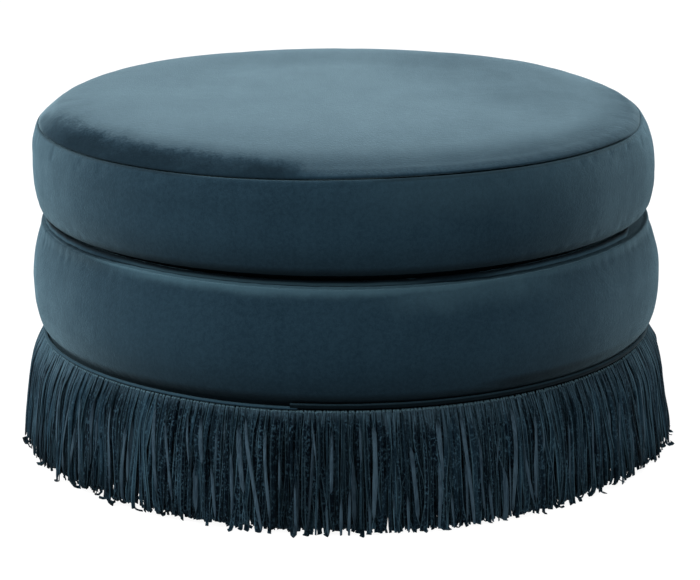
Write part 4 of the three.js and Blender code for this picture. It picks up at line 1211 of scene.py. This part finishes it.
def build_strips(name, P, tone, along, lit, root):
    count, points, m, _ = P.shape
    idx = np.arange(count * points * m).reshape(count, points, m)
    a, b = idx[:, :-1], idx[:, 1:]
    quads = np.stack([a, np.roll(a, -1, 2), np.roll(b, -1, 2), b], -1).reshape(-1, 4)
    back = np.tile([0, 0, 0, 1, 1, 1], count * (points - 1))
    edge = np.random.default_rng(count).random((count, 2)) < 0.62  # which of its two edges get a painted highlight
    rim = np.zeros((count, points - 1, 6))
    rim[:, :, 0] = edge[:, :1]
    rim[:, :, 2] = edge[:, 1:]
    rim = rim.ravel()
    caps = []
    for end, flip in ((idx[:, 0], False), (idx[:, -1], True)):
        for q in (end[:, [0, 1, 4, 5]], end[:, [1, 2, 3, 4]]):
            caps.append(q if flip else q[:, ::-1])
    quads = np.concatenate([quads] + caps)
    back = np.concatenate([back, np.zeros(len(quads) - len(back))])
    rim = np.concatenate([rim, np.zeros(len(quads) - len(rim))])
    me = mesh_from(name, P.reshape(-1, 3), quads)
    assert len(me.polygons) == len(quads)
    for key, domain, val in (("tone", "POINT", tone), ("along", "POINT", along), ("lit", "POINT", lit), ("root", "POINT", root), ("back", "FACE", back), ("rim", "FACE", rim)):
        at = me.attributes.new(key, "FLOAT", domain)
        at.data.foreach_set("value", np.asarray(val, np.float32).ravel())
    return link(name, me)


# Ribbons that lie on top and show their back: angle and height where it comes round to the front, angle
# and height where it goes back again, and width in mm.
PLACED = [
    (-34.5, 122, -32.5, 30, 5.6), (-31.5, 108, -29.5, 22, 4.6), (-27.5, 117, -26.5, 66, 3.6), (-25.0, 118, -24.0, 66, 5.8),
    (-22.5, 70, -21.5, 8, 4.8), (-20.6, 118, -20.2, 94, 2.8), (-19.2, 90, -18.6, 14, 4.8), (-18.0, 115, -16.8, 40, 7.6),
    (-17.0, 122, -13.9, 4, 5.4), (-13.5, 112, -12.5, 14, 4.6), (-11.0, 90, -10.8, 46, 3.0), (-5.6, 118, -5.0, 80, 2.8),
    (-8.2, 60, -8.3, 1, 3.8), (-4.6, 48, -5.0, 1, 3.8), (-2.5, 113, -2.3, 22, 4.6), (2.1, 119, 2.2, 80, 3.6),
    (-3.2, 40, -3.0, 1, 3.6), (-0.8, 44, -1.0, 1, 4.2), (0.6, 54, 0.2, 1, 4.4), (3.3, 40, 3.7, 1, 3.8), (9.6, 44, 9.9, 2, 3.8),
    (17.0, 42, 17.4, 2.5, 3.6), (23.6, 50, 24.0, 3, 3.8),
    (4.6, 119, 4.3, 16, 6.8), (7.5, 46, 7.6, 20, 3.0), (10.5, 97, 11.3, 12, 6.2), (15.4, 121, 15.0, 3, 7.8),
    (19.4, 122, 20.7, 3, 5.6), (22.0, 100, 22.7, 14, 3.8), (25.5, 97, 25.0, 58, 2.8), (29.2, 124, 27.8, 10, 6.6),
    (33.2, 114, 32.2, 15, 5.8), (40.2, 97, 39.4, 16, 3.8), (46.0, 104, 45.2, 20, 3.6), (-44.0, 112, -43.0, 26, 4.6),
    (-52.5, 110, -51.0, 20, 4.6), (-60.0, 114, -59.0, 30, 4.8), (54.0, 100, 53.0, 30, 3.6), (63.0, 104, 62.4, 24, 3.8),
]


def placed_ribbons(points=40):
    """Those ribbons, hung from the header like the rest, a little proud of them."""
    g = np.random.default_rng(404)
    base = spline(LAYERS["outer"], 160) * MM
    drop = np.concatenate([[0], np.cumsum(np.linalg.norm(np.diff(base, axis=0), axis=1))])
    e = np.array(PLACED, float)
    count = len(e)
    phi_top, phi_low = np.radians(e[:, 0]), np.radians(e[:, 2])
    rise = (header_rise(phi_top) + 0.5) * MM
    s_at = lambda z: np.interp(-np.clip(z * MM, 0.002, 0.130), -base[:, 1], drop)
    s_top, s_low = s_at(e[:, 1]), s_at(e[:, 3])
    tip = np.where(e[:, 3] < 6, np.maximum(e[:, 3], 1.2), g.uniform(6.5, 10.0, count))
    length = drop[-1] - (tip - 2.0) * MM
    s = np.linspace(0, 1, points)[None, :] * length[:, None]
    r = np.interp(s, drop, base[:, 0]) + 2.0 * MM * smoothstep(s, 0.004, 0.020) * (1 + 0.3 * np.sin(s * 60 + g.uniform(0, TAU, count)[:, None]))
    z = np.interp(s, drop, base[:, 1]) - np.maximum(s - drop[-1], 0)
    z = z + rise[:, None] * (1 - smoothstep(s / drop[-1], 0.05, 0.45))
    k = np.clip((s - s_top[:, None]) / np.maximum(s_low - s_top, 0.01)[:, None], -0.4, 1.25)
    phi = phi_top[:, None] + (phi_low - phi_top)[:, None] * k + 0.7 * MM / 0.38 * np.sin(s * g.uniform(30, 60, count)[:, None] + g.uniform(0, TAU, count)[:, None])
    C = around(r, z, phi)
    T = np.gradient(C, axis=1)
    T /= np.linalg.norm(T, axis=2, keepdims=True)
    radial = np.stack([np.sin(phi), -np.cos(phi), 0 * phi], -1)
    W = np.cross(T, radial)
    W /= np.linalg.norm(W, axis=2, keepdims=True)
    N = np.cross(W, T)
    sign = np.sign(g.normal(0, 1, count))
    tw = sign[:, None] * math.pi * (smoothstep(s, (s_top - 0.007)[:, None], (s_top + 0.012)[:, None])
                                    + np.where(e[:, 3] > 6, 1, 0)[:, None] * smoothstep(s, (s_low - 0.012)[:, None], (s_low + 0.007)[:, None]))
    tw = tw + (g.normal(0, 0.12, count))[:, None] * np.sin(s * 40)
    W, N = W * np.cos(tw)[..., None] + N * np.sin(tw)[..., None], N * np.cos(tw)[..., None] - W * np.sin(tw)[..., None]
    mid = np.clip((s - s_top[:, None]) / np.maximum(s_low - s_top, 0.01)[:, None], 0, 1)
    w = e[:, 4][:, None] * 0.80 * (0.72 + 0.28 * np.sin(math.pi * mid) ** 0.8) * MM
    w = w * (1 + 0.09 * np.sin(s * g.uniform(80, 170, count)[:, None] + g.uniform(0, TAU, count)[:, None]))
    w = w * (0.55 + 0.45 * smoothstep(s, 0.002, 0.020))
    off = [(-1, 0.0), (-0.62, 1.0), (0.62, 1.0), (1, 0.0), (0.62, -1.0), (-0.62, -1.0)]
    slant = np.zeros((count, points))
    slant[:, -1] = g.normal(0, 0.3, count)
    ring = [C + W * (w * 0.5 * a)[..., None] + N * (0.0005 * b) + T * (slant * w * 0.5 * a)[..., None] for a, b in off]
    P = np.stack(ring, 2)
    P[..., 2] = np.maximum(P[..., 2], 0.0008)
    full = np.ones((count, points, len(off)))
    tone = full * (np.clip(0.46 + 0.22 * g.normal(0, 1, count), 0.1, 1.0)[:, None] + 0.18 * np.sin(s * g.uniform(40, 90, count)[:, None] + g.uniform(0, TAU, count)[:, None]))[:, :, None]
    tone = np.clip(tone, 0, 1)
    x = s / length[:, None]
    # painted shade where a ribbon runs under the others before it comes round and after it goes back, with painted
    # streaks of sheen along it; root is painted light below the header
    come = 0.52 + 0.48 * smoothstep(s, (s_top - 0.002)[:, None], (s_top + 0.024)[:, None])
    go = 1 - 0.30 * smoothstep(s, (s_low - 0.030)[:, None], s_low[:, None]) * np.where(e[:, 3] > 6, 1, 0)[:, None]
    streak = 1 + 0.12 * np.sin(s * g.uniform(150, 320, count)[:, None] + g.uniform(0, TAU, count)[:, None])
    lit = full * np.clip(come * go * streak, 0, 1)[:, :, None]
    root = full * (1 - smoothstep(x, 0.02, 0.10))[:, :, None]
    return P, tone, full * x[:, :, None], lit, root


FRINGE = [
    # layer, count, seed, width, spread, flips, height of the tips, curled share, long share, unevenness of the tips
    ("outer", 570, 101, 3.9, 2.2, 0.09, 8.0, 0.18, 0.30, 1.8),
    ("middle", 620, 202, 4.4, 1.6, 0.05, 7.2, 0.08, 0.10, 0.9),
    ("inner", 780, 303, 5.0, 0.5, 0.0, 6.8, 0.0, 0.0, 0.35),
]
for layer, count, seed, width, spread, flips, tips, curl, longer, uneven in FRINGE:
    P, tone, along, lit, root, phi0 = strips(layer, count, seed, width, spread, flips, tips, curl, longer, uneven, 32 if layer == "outer" else 24)
    for q in range(4):  # four arcs of each layer, the front one whole
        lo = -math.pi + q * TAU / 4
        pick = (phi0 + math.pi / 4 + math.pi) % TAU - math.pi
        sel = (pick >= lo) & (pick < lo + TAU / 4)
        ob = build_strips(f"fringe_{layer}_{q + 1}", P[sel], tone[sel], along[sel], lit[sel], root[sel])
        piece(ob, mat_fringe, "fringe_velvet", "fringe")

piece(build_strips("fringe_turned", *placed_ribbons()), mat_fringe, "fringe_velvet", "fringe")

# ------------------------------------------------------------ plinth and inside
PLINTH = [(360.1, 125.4), (360.3, 121.6), (363.0, 117.0), (367.8, 106.5), (370.6, 92.0), (371.0, 76.0), (370.8, 52.0),
          (370.0, 34.0), (367.4, 18.0), (364.0, 9.6), (360.0, 8.0), (340, 7.9), (322, 7.9)]
plinth_outer = spline(PLINTH, 70)
plinth_inner = plinth_outer - normals2(plinth_outer) * 0.9
plinth = lathe("plinth_velvet_cover", np.vstack([plinth_outer, plinth_inner[::-1]]), 360)
piece(plinth, mat_plinth_shaded, "lining", "plinth_cover")

seat = lathe("seat_block", np.vstack([
    [(0, 280.8), (120, 280.8)], spline([(330, 280.8), (338.6, 283.4), (350, 285.2), (358.4, 289.0), (362.6, 297), (365.6, 311),
    (367.0, 325), (367.4, 339), (366.4, 350), (362.0, 364), (354.8, 376), (347.0, 383.4), (342, 385.6)], 40), [(200, 386), (0, 386)]]),
    256, close=False, pole_start=True, pole_end=True)
piece(seat, mat_foam, "foam", "seat_foam")
def under_top(gap, far, low):
    """A solid under the top panel, gap mm below it and out to far mm."""
    c = spline(TOP, 100)
    c = c[(c[:, 0] < far) & (c[:, 1] > 392)]
    R, Z, D = top_shape(c, normals2(c), PHI[::4])
    n2 = normals2(c)
    R = np.maximum(R + n2[:, :1] * (D - gap), 0)
    Z = Z + n2[:, 1:] * (D - gap)
    up = around(R * MM, Z * MM, PHI[::4][None, :])
    up[0, :, :2] = 0
    rim = around((R[-1] - 0.6)[None] * MM, np.full((1, len(PHI[::4])), low * MM), PHI[::4][None, :])
    floor_in = around(np.array([[200.0], [0.0]]) * MM, np.full((2, len(PHI[::4])), low * MM), PHI[::4][None, :])
    return np.concatenate([up, rim, floor_in])


crown = link("crown_layer", grid("crown_layer", under_top(2.0, 343.5, 386.4), pole_start=True, pole_end=True))
piece(crown, mat_wadding, "wadding", "crown_wadding")
lower_pad = lathe("lower_padding", np.vstack([
    [(340.7, 140.3)], spline([(354.0, 140.3), (357.6, 144.6), (363.2, 151.6), (367.4, 160.0), (370.4, 172.0), (372.0, 188.0),
    (372.4, 204.0), (371.2, 219.0), (368.8, 233.0), (364.8, 247.0), (360.6, 257.0), (357.0, 261.6), (353.0, 264.6), (349.0, 266.2),
    (347.4, 266.4)], 44), [(346.8, 262.2), (340.7, 261.9)]]), 256)
piece(lower_pad, mat_foam, "foam", "lower_band_foam")
plinth_pad = lathe("plinth_padding", np.vstack([
    [(358.4, 11.2), (361.4, 11.2)], spline([(365.6, 19.0), (368.2, 36.0), (369.2, 60.0), (369.2, 78.0), (368.0, 96.0),
    (365.0, 106.0), (361.6, 113.4)], 26), [(358.4, 117.6)]]), 256)
piece(plinth_pad, mat_wadding, "wadding", "plinth_wadding")

# Cloth under the seat block: it dips a little between the straps.
phi_c = np.arange(256) / 256 * TAU
rad = np.concatenate([[0], np.linspace(12, 333.5, 60)])
weave = 0.10 * np.cos(rad[:, None] * np.cos(phi_c) / 120 * TAU) * np.cos(rad[:, None] * np.sin(phi_c) / 120 * TAU)
top_z, low_z = 280.45 + weave, 279.85 + weave
Pc = np.concatenate([around(rad[:, None] * MM, top_z * MM, phi_c[None]), around(rad[::-1][:, None] * MM, low_z[::-1] * MM, phi_c[None])])
platform = link("platform_sheet", grid("platform_sheet", Pc, pole_start=True, pole_end=True))
piece(platform, mat_dust, "dust_cloth", "platform_cloth")

# Dust cover: stretched, with a shallow sag, and stapled through near its edge.
radd = np.concatenate([[0], np.linspace(10, 327.6, 64)])
pleat = waves(np.random.default_rng(31), phi_c, 12, 60, 30)[None, :]
sag = -0.25 * (1 - (radd[:, None] / 328) ** 2) + 0.12 * pleat * smoothstep(radd[:, None], 200, 325)
Pd = np.concatenate([around(radd[:, None] * MM, (7.55 + sag) * MM, phi_c[None]), around(radd[::-1][:, None] * MM, (6.95 + sag[::-1]) * MM, phi_c[None])])
dust = link("dust_cover_cloth", grid("dust_cover_cloth", Pd, pole_start=True, pole_end=True))
piece(dust, mat_dust, "dust_cloth", "dust_cover")

# ------------------------------------------------------------ carried-over nodes
for name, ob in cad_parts.items():
    if name.startswith(("top_screw", "bottom_screw", "glide_screw")):
        paint(ob, mat_steel)
    elif name.startswith("glide_"):
        paint(ob, mat_glide)
    elif name.startswith("webbing_x"):
        paint(ob, mat_web_x)
    elif name.startswith("webbing_y"):
        paint(ob, mat_web_y)
    elif name.startswith("post_"):
        paint(ob, mat_pine)
    elif name == "tack_strip":
        paint(ob, mat_card)
    elif name.endswith(("_ring", "_panel")) or name.startswith("base_rail"):
        paint(ob, mat_ply)


# -------------------------------------------------------------- floor and light
def floor_material():
    m = Mat("studio_floor")
    n = m.noise(3.0, 2.0, 0.5)
    m.set(Base_Color=m.mix(n, (0.10, 0.10, 0.10), (0.12, 0.12, 0.12)), Roughness=0.9, Specular_IOR_Level=0.05)
    m.set(Emission_Color=(1.0, 1.0, 1.0), Emission_Strength=0.94)
    return m.m


fm = mesh_from("studio_floor", [(-30, -30, 0), (30, -30, 0), (30, 30, 0), (-30, 30, 0)], [(0, 1, 2, 3)], smooth=False)
floor = link("studio_floor", fm)
paint(floor, floor_material())


def area(name, where, aim, size, power, colour=(1, 1, 1)):
    d = bpy.data.lights.new(name, "AREA")
    d.shape = "RECTANGLE"
    d.size, d.size_y = size
    d.energy = power
    d.color = colour
    o = bpy.data.objects.new(name, d)
    scene.collection.objects.link(o)
    o.location = where
    o.rotation_euler = (Vector(aim) - Vector(where)).to_track_quat("-Z", "Y").to_euler()
    return o


area("key", (-2.6, -0.3, 2.2), (0, 0, 0.2), (2.2, 2.2), 75)
area("top", (0.0, 0.4, 3.2), (0, 0, 0.3), (2.6, 2.0), 40)
area("front_top", (-0.7, -1.5, 2.7), (0, 0, 0.25), (1.6, 1.6), 30)


def studio_world():
    """White all round, and dimmer low behind the camera."""
    w = bpy.data.worlds.new("studio")
    w.use_nodes = True
    t = w.node_tree
    bg = t.nodes["Background"]
    co = t.nodes.new("ShaderNodeTexCoord").outputs["Generated"]
    sep = t.nodes.new("ShaderNodeSeparateXYZ")
    t.links.new(co, sep.inputs[0])

    def ramp(socket, lo, hi, a, b):
        n = t.nodes.new("ShaderNodeMapRange")
        n.interpolation_type = "SMOOTHSTEP"
        t.links.new(socket, n.inputs["Value"])
        for k, v in (("From Min", lo), ("From Max", hi), ("To Min", a), ("To Max", b)):
            n.inputs[k].default_value = v
        return n.outputs[0]

    front = ramp(sep.outputs["Y"], 0.1, -0.75, 0.0, 1.0)
    low = ramp(sep.outputs["Z"], 0.85, 0.25, 0.0, 1.0)
    both = t.nodes.new("ShaderNodeMath")
    both.operation = "MULTIPLY"
    t.links.new(front, both.inputs[0])
    t.links.new(low, both.inputs[1])
    right = ramp(sep.outputs["X"], 0.0, 0.8, 1.0, 0.88)
    out = t.nodes.new("ShaderNodeMath")
    out.operation = "MULTIPLY"
    t.links.new(ramp(both.outputs[0], 0.0, 1.0, WORLD, WORLD * 0.30), out.inputs[0])
    t.links.new(right, out.inputs[1])
    t.links.new(out.outputs[0], bg.inputs[1])
    bg.inputs[0].default_value = (1, 1, 1, 1)
    return w


WORLD = 0.90
scene.world = studio_world()
scene.view_settings.view_transform = "Standard"
scene.view_settings.look = "None"
scene.view_settings.exposure = 0.0
scene.view_settings.gamma = 1.0
